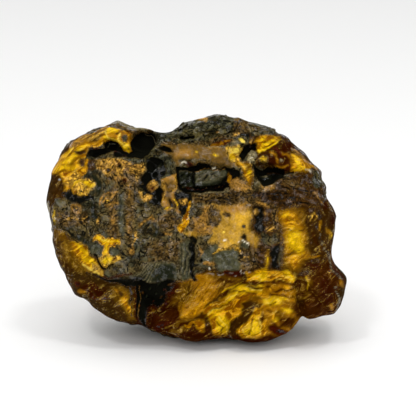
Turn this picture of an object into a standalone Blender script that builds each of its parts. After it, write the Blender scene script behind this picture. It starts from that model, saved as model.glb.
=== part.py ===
"""Raw copal: one lump of hardened tree resin, standing on a flat worn spot.

The lump grew in one piece, so it is one solid. Its broad face carries a crust that took the print of the
bark, ending in a ledge above the bare resin, and the resin below runs in folds. The face leans back.

Sizes are in millimetres in the face's own frame: x to the right, h up the leaning face, w into the lump.
"""

import math

import bmesh
import bpy
import numpy as np
from mathutils import Matrix

MM = 0.001

# Driving sizes.
LEAN = math.radians(15)  # how far the face leans back
FACE_DEPTH = 18.5  # from the widest outline to the middle of the face
BACK_DEPTH = 21.5  # from the widest outline to the middle of the back
HEEL_DEPTH = 4.5  # how much further the foot of the back reaches
FACE_BOXINESS = 4.2  # 2 is an ellipse, more is flatter with tighter edges
FOOT_BOXINESS = 7.5  # the same along the lower edge of the face
BACK_BOXINESS = 2.35
CALM_WIDTH = math.radians(24)  # how far the outline is averaged for the middle of the lump
CURVE_STEPS = 12  # points on the smooth outline for each given one
FACE_BLEND = (0.18, 0.55)  # how squarely a place faces front where the face's relief starts and is full
BACK_BLEND = (0.1, 0.5)
RIM_DETAIL = 5.0  # how fast the small notches of the outline fade towards the middle
REST_LEVEL = -30.0  # height of the flat spot, measured from the face's middle
GRID = 120  # cells along each side of the cube that is rounded into the lump
TRIANGLES = 9400  # after thinning

# The widest outline, clockwise from the top of the left lobe.
OUTLINE = (
    (-21.3, 30.1), (-17.3, 28.7), (-13.1, 27.9), (-11.1, 26.9), (-8.2, 26.7), (-6.1, 27.6),
    (-4.0, 29.1), (-1.8, 30.1), (2.5, 31.3), (6.3, 31.9), (10.1, 30.5), (12.1, 30.4),
    (15.0, 29.2), (21.0, 27.6), (22.5, 26.4), (24.7, 25.5), (28.9, 21.3), (33.9, 16.1),
    (34.4, 14.0), (35.9, 11.6), (36.5, 8.8), (38.6, 5.8), (39.2, 2.0), (38.4, -5.0),
    (38.4, -7.9), (39.2, -10.2), (41.2, -12.4), (41.8, -14.7), (40.2, -20.1), (38.6, -22.7),
    (37.0, -24.1), (32.2, -25.5), (29.8, -24.6), (28.0, -26.9), (26.4, -28.8), (21.2, -31.2),
    (16.4, -31.8), (6.8, -30.9), (-4.0, -31.0), (-10.0, -29.5), (-15.2, -27.0), (-17.3, -26.9),
    (-20.7, -26.2), (-27.0, -23.1), (-31.0, -20.4), (-33.4, -19.5), (-35.7, -17.4), (-38.0, -12.2),
    (-40.3, -5.8), (-41.5, 1.8), (-41.9, 8.5), (-41.5, 11.5), (-40.3, 14.0), (-40.0, 16.1),
    (-38.0, 20.4), (-34.9, 23.9), (-32.5, 24.8), (-28.3, 27.2), (-25.5, 28.3), (-23.4, 29.6),
)

# Lower edge of the bark crust across the face; the bare resin below it lies deeper.
CRUST_EDGE = (
    (-41.0, -4.5), (-34.7, -9.5), (-29.7, -11.8), (-23.5, -14.3), (-18.5, -15.4), (-15.7, -17.4),
    (-10.1, -20.2), (-3.6, -20.6), (-1.7, -16.0), (1.1, -11.8), (8.1, -10.9), (18.5, -10.6),
    (24.9, -10.9), (30.0, -15.0), (41.0, -26.0),
)
CRUST_STEP = 2.4  # height of the ledge
CRUST_STEP_WIDTH = 1.0

# Pits in the face: x, h, half width, half height, turn in degrees, squareness (2 is round), depth.
FACE_PITS = (
    (-14.3, 23.8, 3.9, 3.7, 0, 2.0, 7.0),  # the deep round hole
    (-23.2, 22.7, 2.2, 2.0, 20, 2.0, 3.0),
    (3.6, 14.0, 8.0, 4.3, 2, 4.0, 3.0),  # the long socket that a splinter of bark lies in
    (19.6, 14.9, 3.5, 2.4, 12, 2.6, 3.6),
    (24.2, 15.7, 2.8, 0.9, 6, 2.0, 2.0),
    (6.2, 23.8, 3.3, 1.6, 4, 2.0, 1.8),
    (14.3, 21.8, 2.8, 2.2, 30, 2.0, 2.2),
    (-2.4, 24.4, 2.4, 1.4, 15, 2.0, 1.2),
    (-8.6, -20.6, 5.4, 3.0, 5, 2.5, 2.8),  # the hollow under the crust
)
SPLINTER = (3.2, 14.1, 6.3, 2.3, 2, 4.0, 2.2)  # the same, with its height above the socket's floor

# Grooves and ridges: points along the line, half width, height (negative for a groove).
FACE_LINES = (
    (((-29.1, 21.6), (-24.6, 21.3), (-19.9, 21.0), (-15.7, 19.6), (-10.6, 19.6)), 1.2, -1.9),
    (((-10.1, 17.8), (-11.5, 12.0), (-9.0, 6.2)), 2.8, -1.1),
    (((20.0, 15.4), (25.2, 16.3), (30.0, 16.4)), 1.1, -1.2),
    (((-13.7, -16.0), (-12.9, -21.6), (-12.0, -28.0)), 1.1, -1.4),
    (((20.2, -11.8), (12.3, -15.1), (6.2, -19.3), (2.0, -24.4), (-1.1, -28.6)), 2.3, 1.3),
    (((18.5, -17.4), (14.3, -19.6), (11.2, -23.5), (9.0, -29.0)), 1.9, -1.6),
    (((28.3, -15.0), (29.0, -20.0), (29.2, -25.0)), 1.2, -1.6),
    (((34.2, 0.8), (35.3, -6.2), (37.5, -10.1), (40.0, -14.0), (40.9, -18.5)), 1.0, 0.7),
    (((-39.0, 6.0), (-38.6, -1.0), (-36.4, -9.0), (-33.6, -16.0)), 1.0, 0.6),
    (((-5.5, 19.8), (3.5, 20.6), (12.0, 20.0)), 1.5, 0.9),
    (((16.8, 6.2), (16.4, -2.0), (17.4, -10.4)), 1.3, -1.2),
    (((-0.7, -1.0), (-0.9, -9.0), (-2.2, -16.5)), 1.2, -1.3),
    (((-1.5, 8.6), (8.0, 8.0), (16.5, 8.6), (27.0, 7.6)), 1.1, -0.8),
    (((24.0, 5.5), (24.6, -2.0), (23.0, -10.0)), 1.2, -0.8),
    (((-29.0, 7.0), (-28.0, 1.5), (-30.5, -5.0)), 1.3, -0.7),
)

# Low swellings: x, h, half width, half height, turn, squareness, height.
FACE_SWELLINGS = (
    (16.0, -25.2, 4.6, 5.2, -15, 2.0, 1.6),
    (24.6, -19.6, 4.4, 4.2, 0, 2.0, 1.3),
    (-24.0, -19.0, 9.0, 4.5, -22, 2.0, 0.9),
    (34.5, -17.5, 5.0, 6.0, 0, 2.0, 1.2),
    (-20.5, 15.8, 6.6, 2.9, -6, 3.0, 1.3),  # crumbly bark under the two holes
    (-31.5, 9.0, 4.2, 2.2, 8, 3.0, 1.0),
    (-26.0, 26.5, 8.0, 3.4, 18, 2.0, 0.9),
    (2.0, 27.5, 9.0, 3.2, 3, 2.0, 0.9),
    (-13.0, -9.0, 9.5, 6.5, 8, 3.0, 0.8),
    (8.2, -8.6, 4.2, 3.4, 0, 3.0, 0.7),
    (28.6, -4.0, 3.0, 5.0, 0, 3.0, 0.7),
)

# Shell-shaped breaks in the back: x, h, half width, half height, turn, depth.
BACK_BREAKS = (
    (-19.0, 7.0, 17.0, 12.0, 25, 3.4),
    (13.0, -5.0, 16.0, 13.0, -30, 3.8),
    (22.0, 15.0, 12.0, 9.0, -20, 2.6),
    (-25.0, -12.0, 11.0, 7.5, 35, 2.2),
    (-1.0, 21.0, 11.0, 7.0, 5, 2.2),
    (31.0, -13.0, 8.0, 9.0, 10, 2.0),
)

# Natural unevenness: size of the waves, height.
WAVES = ((17.0, 1.3), (8.0, 0.85), (3.6, 0.5))
WANDER = ((9.0, 1.3), (3.5, 0.6))  # how far the edges of pits, grooves and swellings stray
SEED = 7


def smooth_step(low, high, value):
    t = np.clip((value - low) / (high - low), 0.0, 1.0)
    return t * t * (3.0 - 2.0 * t)


def lattice_value(cell, seed):
    """A fixed random number from -1 to 1 for each whole-number cell."""
    mixed = cell[:, 0] * 374761393 + cell[:, 1] * 668265263 + cell[:, 2] * 2147483647 + seed * 974634777
    mixed = (mixed ^ (mixed >> 13)) * 1274126177
    mixed = mixed ^ (mixed >> 16)
    return (mixed & 0xFFFF) / 32767.5 - 1.0


def wave_noise(points, size, seed):
    """Smooth noise from -1 to 1 whose waves are about size across."""
    place = points / size
    cell = np.floor(place).astype(np.int64)
    part = place - cell
    part = part * part * (3.0 - 2.0 * part)
    total = np.zeros(len(points))
    for corner in range(8):
        step = np.array([corner & 1, (corner >> 1) & 1, (corner >> 2) & 1])
        share = np.where(step, part, 1.0 - part).prod(axis=1)
        total += share * lattice_value(cell + step, seed)
    return total


def closed_curve(points, steps):
    """A smooth closed curve through the points, by Catmull-Rom."""
    p = np.array(points)
    before, after, beyond = np.roll(p, 1, 0), np.roll(p, -1, 0), np.roll(p, -2, 0)
    runs = []
    for t in np.arange(steps) / steps:
        runs.append(
            0.5 * (2 * p + (after - before) * t + (2 * before - 5 * p + 4 * after - beyond) * t**2
                   + (3 * p - before - 3 * after + beyond) * t**3)
        )
    return np.stack(runs, axis=1).reshape(-1, 2)


def outline_reach(points):
    """A function that gives the outline's distance from the middle at an angle."""
    curve = closed_curve(points, CURVE_STEPS)
    angle = np.arctan2(curve[:, 1], curve[:, 0])
    order = np.argsort(angle)
    angle, reach = angle[order], np.hypot(curve[:, 0], curve[:, 1])[order]
    return lambda at: np.interp(at, angle, reach, period=2 * math.pi)


def softened(reach, width, samples=33):
    """The same function averaged over an angle, without its small notches."""
    offsets = np.linspace(-width, width, samples)
    return lambda at: np.mean([reach(at + offset) for offset in offsets], axis=0)


def oval_distance(x, h, centre_x, centre_h, half_width, half_height, turn, squareness=2.0):
    """0 at the middle of a turned oval and 1 on its edge."""
    angle = math.radians(turn)
    along = (x - centre_x) * math.cos(angle) + (h - centre_h) * math.sin(angle)
    across = (h - centre_h) * math.cos(angle) - (x - centre_x) * math.sin(angle)
    total = np.abs(along / half_width) ** squareness + np.abs(across / half_height) ** squareness
    return total ** (1.0 / squareness)


def line_distance(x, h, points):
    """Distance to a line through the points."""
    nearest = np.full(len(x), 1e9)
    for (x0, h0), (x1, h1) in zip(points, points[1:]):
        dx, dh = x1 - x0, h1 - h0
        t = np.clip(((x - x0) * dx + (h - h0) * dh) / (dx * dx + dh * dh), 0.0, 1.0)
        nearest = np.minimum(nearest, np.hypot(x - x0 - t * dx, h - h0 - t * dh))
    return nearest


def rounded_body(directions):
    """Places each direction on the plain body. Returns the points and how squarely each faces front."""
    reach = outline_reach(OUTLINE)
    calm_reach = softened(reach, CALM_WIDTH)
    x, w, h = directions.T
    angle, flat = np.arctan2(h, x), np.hypot(x, h)
    front = w < 0
    low = smooth_step(0.1, 0.9, -np.sin(angle))
    boxiness = np.where(front, FACE_BOXINESS + (FOOT_BOXINESS - FACE_BOXINESS) * low, BACK_BOXINESS)
    size = (flat**boxiness + np.abs(w) ** boxiness) ** (-1.0 / boxiness)
    share = size * flat  # 0 in the middle, 1 at the rim
    depth = np.where(front, FACE_DEPTH, BACK_DEPTH + HEEL_DEPTH * low * share)
    far = share * (calm_reach(angle) + (reach(angle) - calm_reach(angle)) * share**RIM_DETAIL)
    across = np.sign(w) * depth * size * np.abs(w)
    points = np.stack([far * np.cos(angle), across, far * np.sin(angle)], axis=1)
    return points, -np.sign(w) * size * np.abs(w)


def strayed(x, h):
    """The same places shifted a little, so that what is drawn with them has wandering edges."""
    flat = np.stack([x, np.zeros(len(x)), h], axis=1)
    for size, reach in WANDER:
        x = x + reach * wave_noise(flat, size, SEED + 20)
        h = h + reach * wave_noise(flat, size, SEED + 30)
    return x, h


def face_relief(x, h):
    """How far the face stands proud at each place."""
    unevenness = 1.0 + 0.45 * wave_noise(np.stack([x, np.zeros(len(x)), h], axis=1), 5.0, SEED + 40)
    x, h = strayed(x, h)
    edge_x, edge_h = np.array(CRUST_EDGE).T
    above_edge = h - np.interp(x, edge_x, edge_h)
    relief = CRUST_STEP * (smooth_step(-CRUST_STEP_WIDTH, CRUST_STEP_WIDTH, above_edge) - 1.0)
    for *oval, depth in FACE_PITS:
        relief -= depth * (1.0 - smooth_step(0.55, 1.1, oval_distance(x, h, *oval)))
    *oval, height = SPLINTER
    relief += height * (1.0 - smooth_step(0.85, 1.1, oval_distance(x, h, *oval)))
    for points, half_width, height in FACE_LINES:
        fade = smooth_step(0.0, 1.5 * half_width, line_distance(x, h, points))
        relief += unevenness * height * (1.0 - fade)
    for *oval, height in FACE_SWELLINGS:
        relief += height * (1.0 - smooth_step(0.0, 1.2, oval_distance(x, h, *oval)))
    return relief


def back_relief(x, h):
    """How deep the shell-shaped breaks cut into the back."""
    relief = np.zeros(len(x))
    for *oval, depth in BACK_BREAKS:
        bowl = depth * (1.0 - oval_distance(x, h, *oval) ** 2)
        relief = np.minimum(relief, -np.maximum(bowl, 0.0))
    return relief


def shaped(directions):
    """The lump's surface in the face's frame, for directions x, w, h from its middle."""
    points, facing = rounded_body(directions)
    for number, (size, height) in enumerate(WAVES):
        points = points + directions * (height * wave_noise(points, size, SEED + number))[:, None]
    x, h = points[:, 0], points[:, 2]
    points[:, 1] -= face_relief(x, h) * smooth_step(*FACE_BLEND, facing)
    points[:, 1] += back_relief(x, h) * smooth_step(*BACK_BLEND, -facing)
    return points


def cube_directions(bm):
    """Even directions from the points of a gridded cube."""
    corner = np.array([v.co for v in bm.verts])
    spread = np.tan(np.clip(corner, -1.0, 1.0) * math.pi / 4)
    return spread / np.linalg.norm(spread, axis=1, keepdims=True)


def lump_mesh():
    bm = bmesh.new()
    bmesh.ops.create_cube(bm, size=2.0)
    bmesh.ops.subdivide_edges(bm, edges=bm.edges[:], cuts=GRID - 1, use_grid_fill=True)
    points = shaped(cube_directions(bm))
    # Lean the face back, then wear the foot flat.
    lean = np.array(Matrix.Rotation(-LEAN, 3, "X"))
    points = points @ lean.T
    points[:, 2] = np.maximum(points[:, 2], REST_LEVEL)
    # The origin is under the middle of the lump, on the surface that it stands on.
    middle = (points.min(axis=0) + points.max(axis=0)) / 2
    points -= (middle[0], middle[1], REST_LEVEL)
    for vertex, place in zip(bm.verts, points * MM):
        vertex.co = place
    bmesh.ops.triangulate(bm, faces=bm.faces[:])
    mesh = bpy.data.meshes.new("copal_lump")
    bm.to_mesh(mesh)
    bm.free()
    mesh.shade_smooth()
    return mesh


def copal_material():
    material = bpy.data.materials.new("copal")
    material.use_nodes = True
    shader = material.node_tree.nodes["Principled BSDF"]
    shader.inputs["Base Color"].default_value = (0.30, 0.16, 0.02, 1.0)
    shader.inputs["Roughness"].default_value = 0.25
    shader.inputs["Metallic"].default_value = 0.0
    return material


def main():
    for old in list(bpy.data.objects):
        bpy.data.objects.remove(old)
    lump = bpy.data.objects.new("copal_lump", lump_mesh())
    lump.data.materials.append(copal_material())
    bpy.context.scene.collection.objects.link(lump)
    thin = lump.modifiers.new("thin out the flat stretches", "DECIMATE")
    thin.ratio = TRIANGLES / len(lump.data.polygons)


main()
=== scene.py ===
import math

import bpy
import numpy as np
from mathutils import Matrix, Vector


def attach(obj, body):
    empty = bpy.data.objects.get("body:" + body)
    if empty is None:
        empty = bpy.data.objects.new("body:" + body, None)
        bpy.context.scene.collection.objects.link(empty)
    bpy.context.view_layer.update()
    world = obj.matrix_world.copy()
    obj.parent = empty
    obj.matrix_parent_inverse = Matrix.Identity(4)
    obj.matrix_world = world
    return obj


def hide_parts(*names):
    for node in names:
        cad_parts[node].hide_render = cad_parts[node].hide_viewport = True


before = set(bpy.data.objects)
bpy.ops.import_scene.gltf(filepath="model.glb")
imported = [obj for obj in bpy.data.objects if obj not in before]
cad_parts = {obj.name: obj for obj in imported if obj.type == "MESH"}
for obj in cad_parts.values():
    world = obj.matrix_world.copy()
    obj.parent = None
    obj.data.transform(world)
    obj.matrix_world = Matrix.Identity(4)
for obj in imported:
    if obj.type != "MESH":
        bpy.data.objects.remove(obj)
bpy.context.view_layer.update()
mm = 0.001


def smoothStep(low, high, value):
    t = np.clip((value - low) / (high - low), 0.0, 1.0)
    return t * t * (3.0 - 2.0 * t)


def latticeValue(cell, seed):
    # a fixed random number from -1 to 1 for each whole-number cell
    mixed = cell[:, 0] * 374761393 + cell[:, 1] * 668265263 + cell[:, 2] * 2147483647 + seed * 974634777
    mixed = (mixed ^ (mixed >> 13)) * 1274126177
    mixed = mixed ^ (mixed >> 16)
    return (mixed & 0xFFFF) / 32767.5 - 1.0


def waveNoise(points, size, seed):
    # smooth noise from -1 to 1, whose waves are about size across
    place = points / size
    cell = np.floor(place).astype(np.int64)
    part = place - cell
    part = part * part * (3.0 - 2.0 * part)
    total = np.zeros(len(points))
    for corner in range(8):
        step = np.array([corner & 1, (corner >> 1) & 1, (corner >> 2) & 1])
        total += np.where(step, part, 1.0 - part).prod(axis=1) * latticeValue(cell + step, seed)
    return total


def waves(points, table):
    return sum(height * waveNoise(points, size, seed) for size, height, seed in table)


def ridgeNoise(points, size, seed):
    # 1 along thin winding lines, falling to 0 between them
    return 1.0 - np.minimum(np.abs(waveNoise(points, size, seed)) * 3.0, 1.0)


def ovalDistance(x, h, centreX, centreH, halfWidth, halfHeight, turn=0.0, squareness=2.0):
    # 0 in the middle of a turned oval and 1 on its edge
    angle = math.radians(turn)
    along = (x - centreX) * math.cos(angle) + (h - centreH) * math.sin(angle)
    across = (h - centreH) * math.cos(angle) - (x - centreX) * math.sin(angle)
    total = np.abs(along / halfWidth) ** squareness + np.abs(across / halfHeight) ** squareness
    return total ** (1.0 / squareness)


def pairs(numbers):
    return np.reshape(numbers, (-1, 2))


def lineDistance(x, h, points):
    nearest = np.full(len(x), 1e9)
    for (x0, h0), (x1, h1) in zip(points, points[1:]):
        dx, dh = x1 - x0, h1 - h0
        t = np.clip(((x - x0) * dx + (h - h0) * dh) / (dx * dx + dh * dh), 0.0, 1.0)
        nearest = np.minimum(nearest, np.hypot(x - x0 - t * dx, h - h0 - t * dh))
    return nearest


def patchDistance(x, h, points):
    # distance to a closed patch's edge, less than 0 inside it
    ring = list(points) + [points[0]]
    inside = np.zeros(len(x), dtype=bool)
    for (x0, h0), (x1, h1) in zip(ring, ring[1:]):
        crosses = (h0 > h) != (h1 > h)
        inside ^= crosses & (x < x0 + (h - h0) * (x1 - x0) / (h1 - h0 + 1e-12))
    return np.where(inside, -1.0, 1.0) * lineDistance(x, h, ring)


lump = {
    "lean": 15.0,
    "faceDepth": 18.5,
    "backDepth": 21.5,
    "heelDepth": 4.5,
    "faceBoxiness": 4.2,
    "footBoxiness": 7.5,
    "backBoxiness": 2.35,
    "rimDetail": 5.0,
    "rimCalm": 24.0,  # degrees over which the outline evens out towards the middle
    "restLevel": -30.0,
    "cells": (256, 36, 188),  # along the face, through the lump, up the face
    "seed": 7,
    "waves": ((17.0, 1.3, 7), (8.0, 0.85, 8), (3.6, 0.5, 9)),  # size, height and seed of each
    "raggedEdge": ((9.0, 0.3, 64), (3.0, 0.16, 65)),
    "wander": ((9.0, 1.3), (3.5, 0.6)),
    "unevenLines": (5.0, 0.45),
    "crustStep": 2.4,
    "crustStepWidth": 1.0,
}

outline = (
    -21.3,30.1, -17.3,28.7, -13.1,27.9, -11.1,26.9, -8.2,26.7, -6.1,27.6,
    -4.0,29.5, -1.8,30.8, 2.5,32.1, 6.3,32.7, 10.1,31.3, 12.1,31.0,
    15.0,29.2, 21.0,27.6, 22.5,26.4, 24.7,25.5, 28.9,21.3, 33.9,16.1,
    34.4,14.0, 35.9,11.6, 36.5,8.8, 38.6,5.8, 39.2,2.0, 38.4,-5.0,
    38.4,-7.9, 39.2,-10.2, 41.2,-12.4, 41.8,-14.7, 40.2,-20.1, 38.6,-22.7,
    37.0,-24.1, 32.2,-25.5, 29.8,-24.6, 28.0,-26.9, 26.4,-28.8, 21.2,-31.2,
    16.4,-31.8, 6.8,-30.9, -4.0,-31.0, -10.0,-29.5, -15.2,-27.0, -17.3,-26.9,
    -20.7,-26.2, -27.0,-23.1, -31.0,-20.4, -33.4,-19.5, -35.7,-17.4, -38.0,-12.2,
    -40.3,-5.8, -41.5,1.8, -41.9,8.5, -41.5,11.5, -40.3,14.0, -40.0,16.1,
    -38.0,20.4, -34.9,23.9, -32.5,24.8, -28.3,27.2, -25.5,28.3, -23.4,29.6,
)

crustEdge = (
    -41.0,-4.5, -34.7,-9.5, -29.7,-11.8, -23.5,-14.3, -18.5,-15.4, -15.7,-17.4,
    -10.1,-20.2, -3.6,-20.6, -1.7,-16.0, 1.1,-11.8, 8.1,-10.9, 18.5,-10.6,
    24.9,-10.9, 30.0,-15.0, 41.0,-26.0,
)

facePits = (  # x, h, half width, half height, turn, squareness, depth
    (-14.3, 23.8, 3.9, 3.7, 0, 2.0, 7.0),
    (-23.2, 22.7, 2.2, 2.0, 20, 2.0, 3.0),
    (3.6, 14.0, 8.0, 4.3, 2, 4.0, 3.0),
    (19.6, 14.9, 3.5, 2.4, 12, 2.6, 3.6),
    (24.2, 15.7, 2.8, 0.9, 6, 2.0, 2.0),
    (6.2, 23.8, 3.3, 1.6, 4, 2.0, 1.8),
    (14.3, 21.8, 2.8, 2.2, 30, 2.0, 2.2),
    (-2.4, 24.4, 2.4, 1.4, 15, 2.0, 1.2),
    (-8.6, -20.6, 5.4, 3.0, 5, 2.5, 2.8),
)
splinter = (3.0, 14.2, 6.6, 2.3, 2, 8.0, 2.2)

faceLines = (  # points, half width, height
    ((-28.1,20.4, -24.6,20.3, -19.9,20.6, -15.7,19.6, -10.6,19.6), 0.9, -1.3),
    ((-10.1,17.8, -11.5,12.0, -9.0,6.2), 2.8, -1.1),
    ((20.0,15.4, 25.2,16.3, 30.0,16.4), 1.1, -1.2),
    ((-13.7,-16.0, -12.9,-21.6, -12.0,-28.0), 1.1, -1.4),
    ((20.2,-11.8, 12.3,-15.1, 6.2,-19.3, 2.0,-24.4, -1.1,-28.6), 2.3, 1.3),
    ((18.5,-17.4, 14.3,-19.6, 11.2,-23.5, 9.0,-29.0), 1.9, -1.6),
    ((28.3,-15.0, 29.0,-20.0, 29.2,-25.0), 1.2, -1.6),
    ((34.2,0.8, 35.3,-6.2, 37.5,-10.1, 40.0,-14.0, 40.9,-18.5), 1.0, 0.7),
    ((-39.0,6.0, -38.6,-1.0, -36.4,-9.0, -33.6,-16.0), 1.0, 0.6),
    ((-5.5,19.8, 3.5,20.6, 12.0,20.0), 1.5, 0.9),
    ((16.8,6.2, 16.4,-2.0, 17.4,-10.4), 1.3, -1.2),
    ((-0.7,-1.0, -0.9,-9.0, -2.2,-16.5), 1.2, -1.3),
    ((-1.5,8.6, 8.0,8.0, 16.5,8.6, 27.0,7.6), 1.1, -0.8),
    ((24.0,5.5, 24.6,-2.0, 23.0,-10.0), 1.2, -0.8),
    ((-29.0,7.0, -28.0,1.5, -30.5,-5.0), 1.3, -0.7),
)

faceSwellings = (  # x, h, half width, half height, turn, squareness, height
    (16.0, -25.2, 4.6, 5.2, -15, 2.0, 1.6),
    (24.6, -19.6, 4.4, 4.2, 0, 2.0, 1.3),
    (-24.0, -19.0, 9.0, 4.5, -22, 2.0, 0.9),
    (34.5, -17.5, 5.0, 6.0, 0, 2.0, 1.2),
    (-20.5, 15.8, 6.6, 2.9, -6, 3.0, 1.3),
    (-31.5, 9.0, 4.2, 2.2, 8, 3.0, 1.0),
    (-26.0, 26.5, 8.0, 3.4, 18, 2.0, 0.9),
    (2.0, 27.5, 9.0, 3.2, 3, 2.0, 0.9),
    (-13.0, -9.0, 9.5, 6.5, 8, 3.0, 0.8),
    (8.2, -8.6, 4.2, 3.4, 0, 3.0, 0.7),
    (28.6, -4.0, 3.0, 5.0, 0, 3.0, 0.7),
)

backBreaks = (  # x, h, half width, half height, turn, depth
    (-19.0, 7.0, 17.0, 12.0, 25, 3.4),
    (13.0, -5.0, 16.0, 13.0, -30, 3.8),
    (22.0, 15.0, 12.0, 9.0, -20, 2.6),
    (-25.0, -12.0, 11.0, 7.5, 35, 2.2),
    (-1.0, 21.0, 11.0, 7.0, 5, 2.2),
    (31.0, -13.0, 8.0, 9.0, 10, 2.0),
)


def closedCurve(points, steps):
    p = pairs(points)
    before, after, beyond = np.roll(p, 1, 0), np.roll(p, -1, 0), np.roll(p, -2, 0)
    runs = []
    for t in np.arange(steps) / steps:
        runs.append(
            0.5 * (2 * p + (after - before) * t + (2 * before - 5 * p + 4 * after - beyond) * t**2
                   + (3 * p - before - 3 * after + beyond) * t**3)
        )
    return np.stack(runs, axis=1).reshape(-1, 2)


def outlineReach(points):
    curve = closedCurve(points, 12)
    angle = np.arctan2(curve[:, 1], curve[:, 0])
    order = np.argsort(angle)
    angle, reach = angle[order], np.hypot(curve[:, 0], curve[:, 1])[order]
    return lambda at: np.interp(at, angle, reach, period=2 * math.pi)


def softened(reach, width, samples=33):
    offsets = np.linspace(-width, width, samples)
    return lambda at: np.mean([reach(at + offset) for offset in offsets], axis=0)


def roundedBody(directions):
    reach = outlineReach(outline)
    calmReach = softened(reach, math.radians(lump["rimCalm"]))
    x, w, h = directions.T
    angle, flat = np.arctan2(h, x), np.hypot(x, h)
    front = w < 0
    low = smoothStep(0.1, 0.9, -np.sin(angle))
    faceBoxiness = lump["faceBoxiness"] + (lump["footBoxiness"] - lump["faceBoxiness"]) * low
    boxiness = np.where(front, faceBoxiness, lump["backBoxiness"])
    size = (flat**boxiness + np.abs(w) ** boxiness) ** (-1.0 / boxiness)
    share = size * flat
    depth = np.where(front, lump["faceDepth"], lump["backDepth"] + lump["heelDepth"] * low * share)
    far = share * (calmReach(angle) + (reach(angle) - calmReach(angle)) * share ** lump["rimDetail"])
    points = np.stack([far * np.cos(angle), np.sign(w) * depth * size * np.abs(w), far * np.sin(angle)], axis=1)
    return points, -np.sign(w) * size * np.abs(w)


def strayed(x, h, wander, seed):
    flat = np.stack([x, np.zeros(len(x)), h], axis=1)
    for size, reach in wander:
        x = x + reach * waveNoise(flat, size, seed)
        h = h + reach * waveNoise(flat, size, seed + 10)
    return x, h


def crustEdgeHeight(x):
    return np.interp(x, *pairs(crustEdge).T)


def faceRelief(x, h):
    size, amount = lump["unevenLines"]
    unevenness = 1.0 + amount * waveNoise(np.stack([x, np.zeros(len(x)), h], axis=1), size, lump["seed"] + 40)
    x, h = strayed(x, h, lump["wander"], lump["seed"] + 20)
    width = lump["crustStepWidth"]
    relief = lump["crustStep"] * (smoothStep(-width, width, h - crustEdgeHeight(x)) - 1.0)
    for *oval, depth in facePits:
        relief -= depth * (1.0 - smoothStep(0.55, 1.1, ovalDistance(x, h, *oval)))
    *oval, height = splinter
    relief += height * (1.0 - smoothStep(0.85, 1.1, ovalDistance(x, h, *oval)))
    for points, halfWidth, height in faceLines:
        relief += unevenness * height * (1.0 - smoothStep(0.0, 1.5 * halfWidth, lineDistance(x, h, pairs(points))))
    for *oval, height in faceSwellings:
        relief += height * (1.0 - smoothStep(0.0, 1.2, ovalDistance(x, h, *oval)))
    return relief


def backRelief(x, h):
    relief = np.zeros(len(x))
    for *oval, depth in backBreaks:
        bowl = depth * (1.0 - ovalDistance(x, h, *oval) ** 2)
        relief = np.minimum(relief, -np.maximum(bowl, 0.0))
    return relief


# screen colour, crust over the resin, cloudiness of the resin, unevenness, dark film over all, how proud it stands
finishes = {
    # painted shade: black for holes, pits, cracks and the hollows under ledges
    "blackShade": ((4, 4, 3), 1.0, 0.0, 0.0, -1.0, -1.2),
    "char": ((9, 9, 6), 1.0, 0.0, 0.4, -0.3, -0.25),
    "ash": ((82, 71, 44), 1.0, 0.0, 0.66, 0.42, 0.25),
    "slate": ((68, 68, 52), 1.0, 0.0, 0.3, 0.12, 0.25),
    # painted highlight and sheen: pale grey, laid as lines along ridges and rims and as spots and patches
    "paleHighlight": ((128, 118, 90), 1.0, 0.0, 0.4, 0.1, 0.3),
    "olive": ((72, 65, 37), 1.0, 0.0, 0.6, 0.55, 0.2),
    "bark": ((90, 70, 37), 1.0, 0.0, 0.62, 0.08, 0.3),
    "umber": ((60, 38, 10), 0.55, 0.95, 0.5, 0.0, 0.1),
    "tan": ((142, 105, 46), 0.9, 0.8, 0.4, 0.08, 0.3),
    "sand": ((184, 141, 62), 0.95, 0.8, 0.6, 0.08, 0.45),
    "caramel": ((104, 78, 32), 1.0, 0.0, 0.2, 0.08, 0.35),
    "toffee": ((150, 110, 44), 1.0, 0.0, 0.18, 0.03, 0.35),
    "mustard": ((200, 156, 46), 1.0, 0.0, 0.15, 0.0, 0.3),
    "haze": ((170, 132, 46), 1.0, 0.0, 0.22, 0.1, 0.2),
    "goldTan": ((188, 146, 46), 0.42, 0.85, 1.0, 0.1, 0.15),
    # pale yellow resin, laid mostly as painted highlight lines on crests and folds and as painted glints
    "creamAndHighlight": ((255, 226, 90), 0.1, 0.95, 0.4, 0.0, 0.2),
    "rust": ((84, 26, 6), 0.5, 0.95, 0.4, 0.0, -0.5),
    "smoke": ((70, 44, 6), 0.03, 0.95, 0.55, 0.05, 0.0),
    "brass": ((140, 102, 12), 0.0, 0.9, 0.7, 0.0, 0.0),
    "amber": ((182, 126, 4), 0.0, 0.9, 0.45, 0.0, -0.1),
    "darkAmber": ((84, 45, 4), 0.0, 0.95, 0.7, 0.0, -0.2),
    "cola": ((70, 43, 7), 0.0, 0.97, 0.5, 0.0, 0.0),
    "ember": ((60, 22, 1), 0.0, 0.97, 0.5, 0.0, -0.1),
    "glass": ((56, 36, 6), 0.0, 0.97, 0.25, 0.0, 0.0),
    "moss": ((25, 28, 17), 1.0, 0.0, 0.2, 0.0, 0.2),
    "gold": ((255, 188, 8), 0.0, 0.87, 0.95, 0.0, 0.0),
    "honey": ((255, 209, 12), 0.0, 0.92, 0.6, 0.0, 0.1),
    # painted highlight: near-white glints, laid as specks and short lines
    "paintedGlint": ((250, 246, 236), 0.8, 0.0, 0.0, 0.0, 0.0),
}
layers = ("red", "green", "blue", "cover", "milk", "uneven", "film", "rise")
paintWander = ((4.0, 0.6), (1.7, 0.4), (0.8, 0.18))  # sizes and reaches of the waves that the marks stray by
paintSeed = 90


def linearColour(screen):
    part = np.array(screen) / 255.0
    return np.where(part <= 0.04045, part / 12.92, ((part + 0.055) / 1.055) ** 2.4)


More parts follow.
